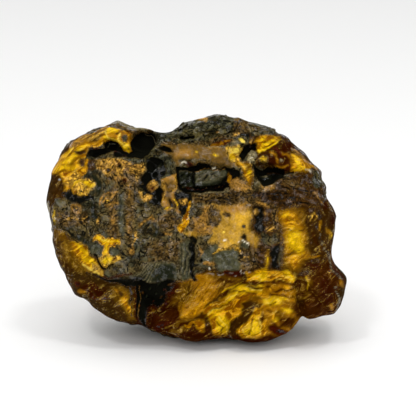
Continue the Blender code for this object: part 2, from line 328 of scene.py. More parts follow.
class Painter:
    # lays finishes over one side of the lump, each over what is already there, by marks in tenths of a millimetre:
    # a line or a patch is x,h, x,h and so on, and a spot is x,h, half width, half height and turn in degrees

    def __init__(self, x, h, base):
        x, h = strayed(x, h, paintWander, paintSeed)
        self.x, self.h = 10.0 * x, 10.0 * h
        self.coat = np.tile(self.recipe(base), (len(x), 1))

    def recipe(self, finish):
        colour, *rest = finishes[finish]
        return np.append(linearColour(colour), rest)

    def lay(self, finish, distance, edge):
        if edge is None:
            edge = 4.5 if finishes[finish][1] < 0.06 else 3.0
        share = 1.0 - smoothStep(-edge, edge, distance)
        self.coat += (self.recipe(finish) - self.coat) * share[:, None]

    def patch(self, finish, *patches, edge=None):
        for marks in patches:
            self.lay(finish, patchDistance(self.x, self.h, pairs(marks)), edge)

    def line(self, finish, halfWidth, *lines, edge=2.2):
        for marks in lines:
            self.lay(finish, lineDistance(self.x, self.h, pairs(marks)) - halfWidth, edge)

    def spot(self, finish, *spots, edge=None):
        for x, h, halfWidth, halfHeight, *turn in spots:
            distance = ovalDistance(self.x, self.h, x, h, halfWidth, halfHeight, *turn) - 1.0
            self.lay(finish, distance * min(halfWidth, halfHeight), edge)


def paintLeftLobe(p):
    p.patch("gold", (-400,160, -380,210, -340,245, -280,275, -240,290, -210,280, -180,268, -176,220, -200,206,
        -220,220, -240,240, -290,230, -300,200, -285,190, -300,150, -280,120, -300,95, -330,100, -360,100,
        -390,120))
    p.patch("smoke", (-415,150, -385,160, -358,125, -360,90, -380,60, -418,60), edge=6)
    p.patch("glass", (-430,160, -404,150, -399,80, -402,0, -386,-60, -364,-130, -430,-140), edge=5)
    # painted reflection: a pale grey streak down the left rim facet
    p.line("paleHighlight", 3, (-415,70, -412,30, -405,-30, -392,-84, -376,-124), edge=4)
    p.patch("smoke", (-406,170, -386,216, -340,254, -300,276, -300,268, -340,240, -376,206, -392,166), edge=5)
    p.patch("amber", (-326,242, -330,250, -280,274, -242,286, -240,264, -252,246, -280,234), edge=6)
    for x, h, length, turn in ((-352, 218, 26, 42), (-336, 204, 22, 35), (-356, 190, 22, 28), (-372, 172, 17, 22),
                               (-344, 174, 14, 20), (-316, 226, 18, 20)):
        p.spot("honey", (x, h, length, 4.5, turn))
        p.spot("smoke", (x + 3, h - 9, length * 0.8, 2.5, turn))
    p.spot("tan", (-334,236, 26, 7, 20))
    p.patch("goldTan", (-314,256, -280,272, -246,282, -242,270, -264,256, -296,246), edge=7)
    p.spot("honey", (-226,270, 19, 10, -8))
    p.spot("smoke", (-272,254, 20, 5, 25))
    p.patch("bark", (-246,284, -230,298, -213,310, -170,296, -120,286, -100,264, -135,269, -175,264, -185,278,
        -210,283, -230,279))
    # painted highlight: a pale grey strip along the top rim
    p.patch("paleHighlight", (-230,292, -213,306, -180,294, -130,284, -134,278, -174,282, -200,293))
    p.patch("umber", (-345,219, -320,223, -300,220, -296,210, -314,212, -330,215))
    p.patch("umber", (-318,204, -300,202, -303,170, -320,176, -326,186), edge=5)


def paintHoles(p):
    # painted shade: the holes painted black
    p.spot("blackShade", (-142,237, 39, 36))
    p.patch("blackShade", (-182,218, -114,214, -120,204, -145,198, -170,204, -186,200, -224,202, -228,212, -214,234,
        -198,216))
    p.spot("blackShade", (-232,230, 17.5, 15, 25))
    p.patch("blackShade", (-293,212, -280,225, -264,224, -248,224, -236,212, -250,207, -260,208, -272,199, -288,202))
    p.line("rust", 2, (-226,214, -212,212, -198,204))
    p.spot("rust", (-274,226, 9, 3, 10))
    p.line("slate", 2, (-242,224, -236,233, -226,236))
    # painted highlight: a short glint line
    p.line("paintedGlint", 0.6, (-240,235, -232,240), edge=1.5)
    p.line("olive", 3, (-124,204, -109,220, -102,246))
    # painted highlight: a pale grey crest line beside the round hole
    p.line("paleHighlight", 1.2, (-140,270, -118,260, -104,242), edge=3)
    p.patch("amber", (-246,256, -216,270, -180,270, -179,236, -182,218, -189,209, -199,214, -213,236,
        -234,247))
    p.line("honey", 4, (-248,253, -232,250, -218,246))
    p.line("gold", 2, (-214,240, -215,256, -204,268, -189,265, -183,250, -188,235))
    p.patch("honey", (-216,243, -208,240, -190,239, -182,230, -184,219, -189,212, -197,217, -205,226,
        -213,236), edge=2.5)
    p.spot("umber", (-204,233, 4, 2, 30), (-189,223, 3, 5, 20))
    # painted highlights: pale crest lines around the pit
    p.line("creamAndHighlight", 1.4, (-248,271, -238,253, -224,248, -214,242, -204,233), edge=2)
    p.line("creamAndHighlight", 1.2, (-215,246, -213,258, -204,266), (-202,229, -192,232, -185,234), edge=2)
    p.spot("char", (-199,251, 7, 11.5, -8))
    p.spot("slate", (-199,251, 3.5, 7, -8))
    p.spot("rust", (-186,270, 6, 3, -30), (-183,254, 2.5, 9, -5))
    p.spot("char", (-212,267, 5, 2.2, 30))


def paintCrumbs(p):
    p.patch("umber", (-293,195, -273,195, -265,165, -285,150, -300,175))
    p.patch("bark", (-250,154, -150,154, -156,116, -180,106, -220,120, -250,134), edge=9)
    p.patch("sand", (-270,192, -230,194, -200,190, -156,183, -144,184, -143,156, -170,148, -194,156, -210,148,
        -255,153, -263,170), edge=5)
    p.spot("tan", (-206,136, 20, 7, -10))
    p.spot("sand", (-166,136, 8, 9))
    p.spot("char", (-242,165, 5, 6), (-212,171, 6, 7.2), (-170,159, 4.5, 5.4), (-190,179, 3, 3.6),
        (-228,156, 3.5, 4.2), (-184,164, 3, 3.6))
    p.line("rust", 0.8, (-260,174, -230,162, -216,178), (-204,184, -188,168, -176,176, -150,172), (-224,188,
        -214,176), (-200,156, -188,164, -176,150))
    p.spot("rust", (-193,130, 5, 5))
    p.patch("ash", (-285,165, -258,162, -248,145, -255,100, -280,100, -290,130))
    p.patch("ash", (-322,138, -298,160, -286,160, -282,134), edge=6)
    p.patch("goldTan", (-363,130, -335,164, -322,162, -316,142, -293,132, -277,128, -280,108, -300,96, -325,98,
        -340,115), edge=5)
    p.spot("honey", (-296,123, 16, 6, -10), (-328,124, 12, 3.5, 30))


def paintLeftCrust(p):
    p.patch("bark", (-234,124, -214,126, -208,60, -204,-24, -234,-26, -240,50), edge=10)
    p.patch("bark", (-194,120, -172,122, -166,40, -168,-60, -188,-64, -186,30), edge=9)
    p.patch("slate", (-208,90, -194,90, -190,-10, -204,-20), edge=6)
    p.patch("char", (-370,102, -345,115, -333,100, -300,96, -281,92, -280,40, -270,30, -273,65, -285,80,
        -310,78, -330,76, -350,84))
    p.patch("ash", (-390,84, -350,86, -345,55, -385,50, -394,65))
    p.patch("bark", (-388,48, -300,50, -296,12, -350,6, -390,15), edge=8)
    p.spot("tan", (-330,62, 15, 15))
    p.spot("char", (-330,62, 8, 8))
    p.spot("sand", (-329,63, 3.5, 3))
    p.line("sand", 2, (-355,31, -334,34, -320,30, -303,30))
    p.line("tan", 2, (-314,30, -309,18))
    p.patch("ash", (-350,10, -290,12, -286,-30, -300,-46, -335,-36, -354,-10))
    p.spot("honey", (-394,30, 3, 13))
    p.line("tan", 2.8, (-262,70, -254,98, -236,108, -218,100), (-252,76, -242,92, -224,94), (-244,64, -228,76,
        -210,66), (-236,54, -226,62))
    p.spot("goldTan", (-236,84, 7, 5, 30))
    p.spot("tan", (-223,22, 7, 12))
    p.line("tan", 2.5, (-184,116, -179,86))
    p.line("tan", 2, (-182,30, -176,-8))
    p.patch("sand", (-164,102, -154,98, -144,88, -126,86, -124,78, -144,76, -158,86), edge=2.5)
    p.patch("tan", (-129,126, -112,124, -106,112, -118,104, -130,112), edge=2.5)
    p.spot("rust", (-118,114, 4.5, 4))
    p.line("sand", 1.5, (-124,128, -112,132, -106,124))
    p.spot("sand", (-268,21, 5, 9))
    p.line("sand", 2, (-160,-2, -158,-22, -166,-38))
    p.spot("tan", (-171,-54, 7, 13, -20))
    p.spot("bark", (-75,22, 34, 22))
    p.line("char", 0.6, (-96,28, -80,36, -62,32, -54,20), (-98,16, -82,26, -64,20), (-94,6, -76,12, -58,8))
    p.line("tan", 3, (-148,16, -134,28, -122,30, -112,18))
    p.line("char", 2.5, (-134,-10, -104,-14, -80,-6))
    p.patch("bark", (-136,-34, -36,-28, -32,-76, -60,-90, -134,-90), edge=9)
    for step in range(5):
        p.line("ash", 1.2, (-126 + step * 20, -36, -128 + step * 21, -84))
        p.line("char", 0.5, (-134, -42 - step * 10, -86, -46 - step * 11, -38, -40 - step * 10))
    p.line("sand", 1.5, (-73,-24, -66,-30))
    p.line("tan", 2, (-88,-7, -66,-10))


def paintCrustPockets(p):
    for finish, halfWidth, *marks in (
            ("moss", 8, -276,146, -266,124, -272,96), ("char", 3, -326,94, -302,90, -284,82),
            ("moss", 6, -286,72, -282,50, -274,30), ("char", 1.5, -288,26, -270,32, -258,20, -268,4, -248,-4),
            ("char", 1.5, -266,22, -248,10, -242,-10), ("moss", 5, -324,-26, -302,-32, -288,-40),
            ("char", 2, -172,140, -166,112, -168,80, -154,66), ("char", 1.5, -158,64, -136,60, -120,44, -96,40),
            ("char", 2, -154,26, -136,30, -124,16, -138,2, -120,-14), ("moss", 4, -114,12, -106,-6, -116,-20),
            ("char", 1.2, -204,96, -200,60, -206,24), ("char", 1.2, -228,120, -234,90, -226,68),
            ("char", 1.2, -386,46, -366,52, -346,42, -340,24), ("moss", 3, -364,10, -342,2, -318,-6),
            ("char", 1.2, -98,-26, -76,-30, -54,-22), ("char", 1, -190,-66, -156,-74, -120,-70, -90,-78)):
        p.line(finish, halfWidth, marks, edge=3.5)


def paintYellowFork(p):
    p.patch("cola", (-405,7, -360,-3, -349,-33, -320,-43, -300,-47, -295,-75, -270,-85, -245,-102, -250,-122,
        -265,-130, -290,-122, -315,-117, -350,-122, -380,-110, -400,-50))
    p.patch("brass", (-394,4, -364,-8, -350,-34, -320,-42, -300,-50, -294,-80, -265,-106, -260,-128, -295,-122,
        -340,-108, -376,-80), edge=12)
    p.patch("gold", (-346,-42, -320,-44, -300,-50, -298,-80, -275,-102, -260,-128, -295,-116, -326,-94,
        -344,-66), edge=9)
    p.spot("honey", (-324,-54, 16, 6, -50), (-310,-62, 18, 6, -60), (-312,-84, 14, 6, -45),
        (-294,-92, 19, 6, -45), (-282,-110, 16, 6, -30), (-268,-118, 12, 6, -30))
    p.patch("goldTan", (-294,-96, -276,-100, -256,-118, -252,-132, -274,-126, -292,-114))
    p.line("darkAmber", 1, (-342,-72, -316,-102, -286,-119), edge=4)
    p.line("creamAndHighlight", 2, (-316,-99, -294,-115, -268,-128), edge=3)
    p.spot("smoke", (-386,-70, 14, 34, 15), edge=9)
    p.line("umber", 1.8, (-382,-42, -345,-38))
    p.patch("gold", (-284,-30, -278,-18, -262,-17, -244,-26, -226,-25, -208,-28, -209,-35, -226,-41, -239,-46,
        -241,-62, -234,-78, -254,-80, -253,-60, -255,-44, -266,-32, -276,-28), edge=2.5)
    p.line("honey", 3, (-272,-23, -256,-28, -234,-34, -214,-32), (-248,-40, -248,-64, -245,-76), edge=2)
    # painted highlight: a pale crest line
    p.line("creamAndHighlight", 1.2, (-262,-24, -244,-31), edge=1.5)
    p.patch("goldTan", (-274,-80, -254,-74, -240,-73, -224,-76, -210,-66, -206,-76, -222,-94, -242,-107,
        -262,-96), edge=2.5)
    p.spot("honey", (-242,-86, 16, 8, 10), edge=4)
    # painted glints: two short pale lines
    p.line("creamAndHighlight", 0.8, (-259,-86, -244,-80), (-234,-86, -224,-90), edge=2)
    p.line("umber", 1.2, (-246,-76, -236,-88, -240,-98), edge=2)
    p.spot("slate", (-275,-53, 16, 21, 35))
    p.line("char", 1, (-290,-56, -284,-38, -268,-37, -259,-54, -266,-72), edge=2)
    p.line("moss", 1, (-280,-64, -276,-48, -266,-52), edge=2)
    p.spot("slate", (-224,-59, 14, 12, 25))
    p.line("char", 1, (-236,-52, -222,-47, -210,-56), edge=2)
    # painted shade: a black crack
    p.line("blackShade", 1.8, (-281,-74, -271,-92, -252,-109, -236,-106, -222,-96))


def paintLowerLeft(p):
    p.patch("glass", (-390,-110, -350,-124, -310,-124, -290,-129, -260,-137, -240,-148, -180,-152, -160,-170,
        -154,-280, -220,-280, -310,-225, -360,-200, -390,-150))
    p.patch("brass", (-235,-182, -212,-160, -196,-152, -186,-180, -172,-210, -169,-252, -189,-250, -204,-224),
        edge=10)
    p.line("cola", 5, (-254,-170, -224,-214, -188,-264), edge=10)
    p.line("cola", 6, (-374,-136, -330,-150, -280,-154, -230,-166), edge=12)
    p.spot("gold", (-192,-206, 8, 26, 20), edge=8)
    p.spot("amber", (-214,-174, 16, 6, -30))
    p.spot("ember", (-280,-174, 36, 22, -20))
    # painted shade: a black line under the crust's edge
    p.line("blackShade", 1.5, (-300,-124, -284,-129, -252,-140, -210,-144))
    p.line("ember", 3, (-270,-130, -240,-136, -200,-132, -176,-122))
    for step in range(5):
        p.line("smoke", 1.5, (-360 + step * 32, -156, -338 + step * 30, -186, -306 + step * 24, -220))
    p.line("ember", 7, (-380,-166, -330,-215, -270,-248, -200,-274, -140,-296), edge=13)
    p.spot("rust", (-325,-153, 8, 6))
    p.spot("amber", (-316,-175, 8, 4.5))
    p.spot("smoke", (-205,-180, 8, 14, 20))


def paintCave(p):
    p.patch("ember", (-146,-148, -80,-142, -44,-146, -42,-172, -58,-206, -74,-230, -120,-234, -126,-280,
        -164,-280, -174,-150), edge=9)
    # painted shade: the hollow under the ledge painted black
    p.patch("blackShade", (-234,-141, -200,-139, -160,-139, -125,-148, -100,-145, -80,-139, -58,-144, -62,-168,
        -78,-182, -82,-203, -98,-218, -116,-208, -134,-218, -136,-240, -140,-272, -152,-274, -156,-220,
        -169,-160, -200,-149), edge=9)
    for finish, places in (("umber", (-66,-154, -88,-186, -144,-178)),
                           ("rust", (-76,-170, -62,-180, -78,-206, -114,-200, -150,-210)),
                           ("moss", (-104,-174, -122,-162, -96,-152, -130,-188))):
        p.spot(finish, *((x, h, 6, 4, 40) for x, h in pairs(places)))
    for x, finish in ((-183, "char"), (-173, "darkAmber"), (-165, "blackShade"), (-158, "brass")):
        p.line(finish, 1.6, (x, -162, x + 6, -195, x + 4, -244))
    p.patch("slate", (-180,-130, -125,-94, -65,-96, -46,-116, -50,-139, -120,-146), edge=7)
    p.patch("moss", (-116,-126, -96,-106, -65,-102, -48,-121, -62,-142, -106,-146), edge=8)
    # painted highlights: thin pale grey lines beside the dark lines across the bulge
    for step in range(6):
        p.line("paleHighlight", 0.5, (-186 + step * 13, -142, -162 + step * 11, -120, -134 + step * 7, -98))
        p.line("char", 0.6, (-180 + step * 13, -142, -156 + step * 11, -120, -129 + step * 7, -98))
    p.spot("moss", (-88,-123, 32, 19, 12), edge=8)
    p.spot("char", (-164,-134, 26, 7, 15), edge=6)
    p.patch("slate", (-44,-40, -16,-26, -9,-136, -36,-143), edge=6)
    # painted highlights: thin pale grey lines beside the dark lines in the grey strip
    for x in (-38, -28, -19):
        p.line("char", 0.7, (x, -40, x + 3, -84, x, -130))
        p.line("paleHighlight", 0.5, (x + 3.5, -50, x + 6, -90, x + 3, -126))
    p.line("char", 6, (-11,-20, -13,-70, -7,-120, 1,-136))


def paintAmber(p):
    p.patch("amber", (-53,-149, -20,-144, 3,-138, 10,-116, 32,-123, 50,-130, 80,-130, 120,-135, 115,-153,
        70,-180, 40,-200, 15,-230, -20,-255, -85,-285, -120,-300, -140,-270, -130,-220, -70,-216, -65,-185,
        -52,-168))
    p.patch("ember", (-136,-216, -80,-222, -55,-206, -42,-226, -46,-255, -85,-282, -125,-295, -144,-270))
    p.spot("brass", (-35,-175, 34, 30, 30), edge=16)
    p.patch("brass", (26,-122, 50,-130, 80,-130, 120,-135, 115,-153, 70,-180, 54,-170, 74,-150), edge=10)
    p.spot("darkAmber", (86,-144, 32, 8, -12), edge=10)
    p.line("gold", 3.5, (-36,-246, 2,-224, 32,-196), edge=10)
    for step in range(9):
        p.line("darkAmber", 0.7, (-56 + step * 16, -229 + step * 6, -32 + step * 15, -188 + step * 4,
                                  -6 + step * 14, -154 + step * 2), edge=2)
    for step in range(3):
        p.line("darkAmber", 1.5, (-118 + step * 21, -276 + step * 4, -90 + step * 17, -240 + step * 4,
                                  -70 + step * 12, -224 + step * 8), edge=6)
    p.line("amber", 3, (-106,-216, -116,-232))
    p.lay("ember", np.maximum(p.h + 270, p.x - 40), 16)
    p.line("brass", 1.5, (-33,-223, -44,-246, -66,-266))


def paintFolds(p):
    p.patch("gold", (20,-226, 60,-198, 105,-177, 140,-165, 190,-170, 200,-188, 150,-193, 130,-212, 120,-235,
        95,-256, 82,-304, 50,-302, 48,-260, 36,-248))
    p.spot("honey", (75,-266, 19, 24, 10), (132,-176, 38, 8, 12), (178,-175, 22, 5.5, -2),
        (56,-224, 26, 7, 35))
    p.line("honey", 1, (73,-178, 95,-168, 115,-157, 135,-153))
    p.line("darkAmber", 2.5, (70,-185, 100,-173, 130,-163, 160,-167, 205,-164))
    p.lay("ember", np.maximum(p.h + 288 + 0.06 * p.x, p.x - 300), 7)
    p.spot("ember", (-70,-274, 60, 19, 20), edge=12)
    p.spot("rust", (-94,-264, 22, 7, 25), edge=6)
    p.line("brass", 2, (-82,-274, -56,-263, -26,-256, 5,-246))
    p.line("gold", 2, (-30,-270, -12,-260, 8,-250))
    p.line("darkAmber", 3.5, (-32,-282, -12,-269, 16,-263))
    p.spot("brass", (-46,-278, 16, 6, 10))
    p.spot("gold", (16,-262, 12, 16, 30))
    p.spot("darkAmber", (24,-239, 9, 4, 15))
    p.line("darkAmber", 6, (-120,-286, -50,-306, 40,-312), edge=8)
    p.line("darkAmber", 5, (60,-314, 120,-316, 200,-314, 270,-292), edge=8)
    p.patch("amber", (150,-196, 205,-196, 260,-204, 300,-220, 294,-260, 256,-296, 200,-304, 186,-240), edge=10)
    p.patch("cola", (130,-206, 164,-200, 184,-208, 174,-220, 154,-222, 134,-252, 114,-295, 95,-295, 102,-257,
        122,-235), edge=6)
    p.patch("gold", (162,-216, 180,-225, 183,-240, 196,-260, 204,-285, 190,-304, 130,-304, 120,-290, 128,-270,
        148,-240))
    p.patch("honey", (160,-236, 176,-256, 188,-282, 164,-296, 136,-290, 142,-266))
    p.line("amber", 1.5, (164,-226, 156,-252, 136,-276), edge=4)
    p.line("amber", 1.2, (174,-264, 166,-280, 168,-296), edge=4)
    p.spot("darkAmber", (182,-246, 7, 17))
    p.spot("rust", (228,-280, 19, 12, -10))
    p.line("darkAmber", 3.5, (198,-226, 226,-248, 266,-246), edge=6)
    p.line("darkAmber", 3, (206,-262, 230,-270, 244,-260, 274,-274), edge=5)
    p.spot("brass", (234,-230, 16, 6, -15), edge=5)
    p.spot("gold", (212,-244, 7, 11, 20), edge=5)
    p.spot("ember", (226,-282, 24, 10, -5), edge=6)
    p.patch("gold", (140,-120, 190,-114, 220,-120, 285,-123, 290,-152, 220,-152, 193,-147, 145,-150))
    p.spot("honey", (185,-130, 10, 17, -10), (183,-159, 10, 5), (258,-130, 20, 9, -15))
    # painted highlight: a pale spot on a fold
    p.spot("creamAndHighlight", (282,-132, 5, 12, 15))
    p.line("darkAmber", 3.5, (130,-152, 170,-149, 193,-147, 240,-150, 280,-153))
    p.patch("amber", (190,-151, 260,-157, 280,-180, 274,-204, 225,-194, 195,-184, 187,-172), edge=7)
    p.line("darkAmber", 4, (198,-160, 226,-172, 264,-170), edge=4)
    p.line("darkAmber", 3, (206,-182, 236,-186, 270,-190), edge=4)
    p.line("gold", 3, (206,-169, 236,-162, 256,-164), edge=4)
    p.spot("honey", (215,-199, 27, 10))
    p.line("honey", 2, (242,-195, 260,-195))
    p.spot("honey", (96,-192, 24, 4.5, 25), (54,-242, 16, 4.5, 35), (76,-276, 12, 4.5, 75),
        (162,-274, 15, 4.5, 65), (214,-200, 18, 4.5, -8), (124,-166, 20, 4.5, 18), (262,-134, 14, 4.5, -20),
        (170,-126, 16, 4.5, 5), (222,-252, 12, 4.5, 30), (256,-222, 14, 4.5, -10), edge=3.5)
    # painted highlights: pale lines along the fold crests
    p.line("creamAndHighlight", 0.9, (52,-209, 86,-189, 124,-182), (34,-236, 60,-216, 94,-206), (66,-246, 86,-270,
        84,-294), (144,-256, 134,-276, 142,-292), (172,-246, 186,-272, 182,-294), (156,-169, 186,-172),
        (196,-202, 220,-194, 236,-198), (204,-128, 236,-136, 270,-134), (160,-126, 184,-142), (220,-144,
        264,-146), edge=1.6)
    p.line("darkAmber", 1.2, (42,-228, 72,-206, 110,-194), (60,-256, 74,-274, 70,-296), (154,-244, 158,-268,
        150,-290), (194,-136, 224,-129, 250,-129), (148,-136, 166,-144), (106,-172, 136,-179, 166,-182),
        (202,-206, 228,-203), edge=2)
    p.patch("darkAmber", (280,-122, 326,-126, 342,-145, 330,-175, 340,-196, 300,-198, 280,-180, 273,-150))
    p.spot("brass", (294,-136, 10, 5, -30), (316,-142, 9, 4.5, -60), (296,-164, 9, 4.5, 50),
        (312,-176, 8, 4, -20), (302,-188, 9, 4.5, 10))
    p.line("honey", 1.2, (306,-130, 314,-146, 308,-162), edge=3)
    p.spot("darkAmber", (256,-256, 26, 14, -25), edge=10)
    p.spot("darkAmber", (284,-226, 16, 22, 10), edge=9)
    p.spot("rust", (236,-284, 26, 9, -8), edge=7)
    p.lay("ember", np.maximum(p.h + 299 - 0.05 * (p.x - 150), p.x - 300), 10)


def paintKnob(p):
    p.patch("darkAmber", (330,-130, 380,-55, 435,-125, 430,-200, 386,-260, 320,-270, 292,-242, 290,-205,
        330,-195, 340,-160), edge=8)
    p.patch("glass", (380,-80, 406,-100, 440,-130, 430,-200, 400,-240, 396,-190, 404,-150), edge=5)
    p.spot("ember", (364,-176, 18, 46, 15), (346,-206, 12, 6, 40))
    p.line("ember", 2, (386,-90, 366,-126, 362,-164, 376,-202), (410,-138, 392,-166, 386,-200, 366,-232),
        edge=5)
    p.spot("amber", (376,-219, 4.5, 5))
    p.spot("darkAmber", (315,-208, 14, 7))
    p.spot("amber", (408,-146, 5, 12, 20))
    p.patch("ember", (364,-70, 384,-86, 414,-126, 426,-160, 410,-136, 382,-110), edge=6)
    # painted highlights: pale grey lines along the knob's ridges
    p.line("paleHighlight", 1.7, (349,-20, 359,-66, 380,-108, 408,-134), edge=1.4)
    p.line("paleHighlight", 1.2, (390,-160, 404,-196, 390,-230), edge=1.4)


def paintTopLobe(p):
    p.patch("olive", (-110,260, -80,285, -30,310, 20,320, 65,335, 106,314, 106,272, 60,255, 0,243, -50,234,
        -90,242))
    p.patch("sand", (0,302, 10,313, 34,316, 28,302))
    p.patch("bark", (100,277, 110,306, 126,314, 150,304, 160,270, 120,260, 55,253, 10,237, 80,247, 100,260))
    # painted shade: black slits
    p.line("blackShade", 2.5, (-46,275, -25,289))
    p.line("blackShade", 3, (-38,251, -20,249, -3,253))
    p.line("char", 2, (24,269, 60,274))
    p.line("char", 3, (76,282, 92,288))
    p.spot("tan", (60,270, 6, 3.5))
    p.line("char", 2, (80,263, 110,281, 124,298))
    p.line("char", 4.5, (126,261, 138,259, 154,263))


def paintSmoothBand(p):
    p.patch("caramel", (-90,232, -50,236, 20,234, 35,228, 90,218, 85,190, 115,175, 85,168, 15,182, -30,186,
        -50,172, -70,200, -90,215), edge=7)
    p.lay("toffee", ovalDistance(p.x, p.h, -30, 208, 36, 17, 5) - 0.7, 0.6)
    p.lay("toffee", ovalDistance(p.x, p.h, 46, 224, 26, 5, -8) - 0.7, 0.6)
    p.line("caramel", 1.2, (-65,226, -30,230, 15,228, 50,220))
    p.line("olive", 1.5, (-45,186, -10,190, 30,186, 80,176), edge=5)
    p.spot("bark", (-68,236, 22, 7, -5))
    p.spot("rust", (-15,182, 11, 5))
    # painted shade: a black pit
    p.spot("blackShade", (-81,220, 14, 5, -28))
    p.patch("rust", (37,235, 46,239, 72,240, 86,248, 100,249, 96,239, 84,229, 70,225, 48,226))
    p.spot("amber", (50,232, 11, 4, -5), (73,232, 6, 4.5), (90,243, 6, 2.5, 20))
    # painted highlight: a pale grey rim line
    p.line("paleHighlight", 1.6, (33,232, 40,227, 60,223, 82,224))
    p.spot("honey", (5,211, 2, 2), (52,203, 2.5, 2.2))
    p.patch("goldTan", (84,204, 88,222, 105,230, 120,226, 134,213, 126,202, 120,187, 104,179, 90,190), edge=5)
    p.spot("creamAndHighlight", (106,216, 13, 8, 10), edge=5)
    p.spot("honey", (98,198, 8, 9, -30), edge=4)
    p.patch("brass", (104,186, 125,186, 144,182, 158,174, 162,145, 154,120, 145,120, 129,143, 120,163,
        104,174))
    p.line("gold", 3, (114,184, 128,172, 138,154, 146,134), edge=5)
    p.spot("honey", (149,154, 7, 6, 45), edge=4)
    p.line("umber", 1.2, (122,166, 134,144, 144,126), edge=3)


def paintSocket(p):
    # painted shade: the socket under the block painted black
    p.patch("blackShade", (-54,166, -30,172, 10,182, 30,174, 48,167, 84,170, 99,164, 114,151, 128,130, 120,124,
        94,110, 60,104, 0,103, -32,98, -48,118))
    p.patch("moss", (-47,162, -22,166, -3,163, -2,114, -25,109, -44,122), (0,165, 40,167, 89,166, 96,153,
        78,127, 60,120, 2,121))
    p.patch("slate", (3,160, 40,161, 86,161, 89,152, 74,134, 58,129, 5,130), edge=2.5)
    for h in (154, 148, 142, 136):
        p.line("ash", 0.6, (8, h, 44, h + 1, 78, h - 1), edge=2)
    # painted highlight: a thin tan line along the plank's top edge
    p.line("tan", 0.8, (2,163, 46,165, 90,164), edge=1.5)
    p.line("ash", 1, (-44,158, -24,163, -6,160))
    p.line("rust", 2.5, (-20,109, 15,113, 50,111, 84,116))
    for step in range(11):
        p.spot("rust" if step % 3 else "ash", (-32 + step * 11, 112 + step * 0.5, 2.8, 2, 40))
    # painted shade: small black hollows
    p.spot("blackShade", (-34,148, 6, 1.2, 35), (-20,132, 6, 1.2, 35), (-28,122, 6, 1.2, 35), (-12,148, 6, 1.2, 35),
        (26,142, 6, 1.2, 35), (52,152, 6, 1.2, 35))
    p.patch("amber", (94,153, 103,144, 101,122, 89,125, 92,137))
    # painted highlights: two short glint lines
    p.line("paintedGlint", 1.2, (-39,181, -24,183), edge=1.5)
    p.line("paintedGlint", 1.6, (48,169, 56,170), edge=1.5)
    p.patch("tan", (104,136, 116,143, 145,126, 156,112, 104,108, 96,116))


def paintFibrousBand(p):
    p.patch("bark", (-4,101, 90,107, 130,114, 170,108, 180,126, 200,112, 270,105, 300,84, 290,60, 110,64,
        -4,72))
    p.patch("umber", (150,104, 200,110, 300,120, 355,120, 350,60, 300,60, 230,64, 170,86))
    # painted shade: thin black cracks between the fibres
    p.line("blackShade", 0.6, (5,90, 40,86, 100,84), (46,72, 100,69), (20,97, 80,94, 106,88), (136,78, 170,76,
        200,79), (210,88, 240,84), (204,56, 220,54), (100,98, 140,92, 180,94), (4,80, 40,77, 80,78), (160,106,
        210,100, 250,104), (230,74, 270,70, 310,76), (180,86, 220,94, 280,90), (120,106, 150,102), (270,120,
        300,104, 330,106), (240,118, 274,112))
    # painted highlight: a pale grey line along the band's top edge
    p.line("paleHighlight", 2, (6,99, 50,100, 94,106))
    p.patch("tan", (50,66, 100,66, 106,59, 56,57))


def paintGoldColumn(p):
    p.patch("toffee", (-91,136, -70,148, -52,156, -45,120, -58,90, -63,53, -80,50, -94,65, -93,90))
    p.patch("caramel", (-84,130, -66,138, -56,120, -68,80, -76,70, -86,90), edge=5)
    p.line("goldTan", 1.2, (-92,60, -89,90, -88,130))
    p.line("honey", 0.8, (-86,54, -76,58, -66,56), edge=1.5)
    p.line("goldTan", 1.2, (-54,148, -52,126, -59,104))
    p.line("char", 0.8, (-86,104, -72,100, -62,106), (-82,130, -78,112, -86,80))
    p.patch("char", (-56,100, -30,99, -6,98, -6,74, -18,56, -36,38, -54,52, -60,75))
    p.spot("char", (-68,70, 5, 15, 8))
    p.spot("sand", (-33,77, 12, 10))
    p.line("tan", 3.5, (-59,88, -52,64, -48,50))
    p.line("honey", 1, (-57,84, -51,64), edge=1.5)
    p.line("gold", 4, (-11,72, -22,48, -29,34))
    p.line("gold", 8.5, (-27,28, -35,14, -41,4))
    # painted highlight: a short glint line
    p.line("paintedGlint", 0.5, (-23,31, -19,35), edge=1.5)


def paintTanWindow(p):
    p.patch("haze", (-34,-6, -12,-18, 2,-10, 15,-4, 24,-28, 42,-35, 63,-35, 68,-52, 100,-53, 118,-50, 130,-10,
        140,-36, 170,-42, 176,-16, 152,-2, 148,40, 134,70, 90,68, 40,62, 32,40, 0,30, -6,6), edge=9)
    p.patch("tan", (-8,34, 12,52, 42,62, 68,62, 68,36, 52,12, 36,-14, 20,-16, -8,6), edge=8)
    p.patch("toffee", (70,70, 136,72, 144,56, 100,50, 74,56), edge=9)
    p.lay("mustard", ovalDistance(p.x, p.h, 126, 24, 22, 36, 0) - 0.7, 0.5)
    p.lay("mustard", ovalDistance(p.x, p.h, 96, -40, 30, 10, 0) - 0.7, 0.5)
    p.patch("bark", (28,10, 38,40, 50,63, 70,55, 70,20, 55,4))
    p.spot("bark", (87,46, 11, 8))
    p.spot("ash", (6,44, 20, 12, 10))
    p.spot("bark", (-13,14, 10, 12))
    # painted highlights: short glint lines
    p.line("paintedGlint", 1, (78,-28, 82,-26), edge=1.5)
    p.line("paintedGlint", 0.8, (113,-41, 117,-39), edge=1.5)
    # painted glint: a short pale line
    p.line("creamAndHighlight", 1, (73,-9, 76,-9), edge=1.5)
    p.spot("char", (132,4, 5, 5), (131,-23, 7, 6))


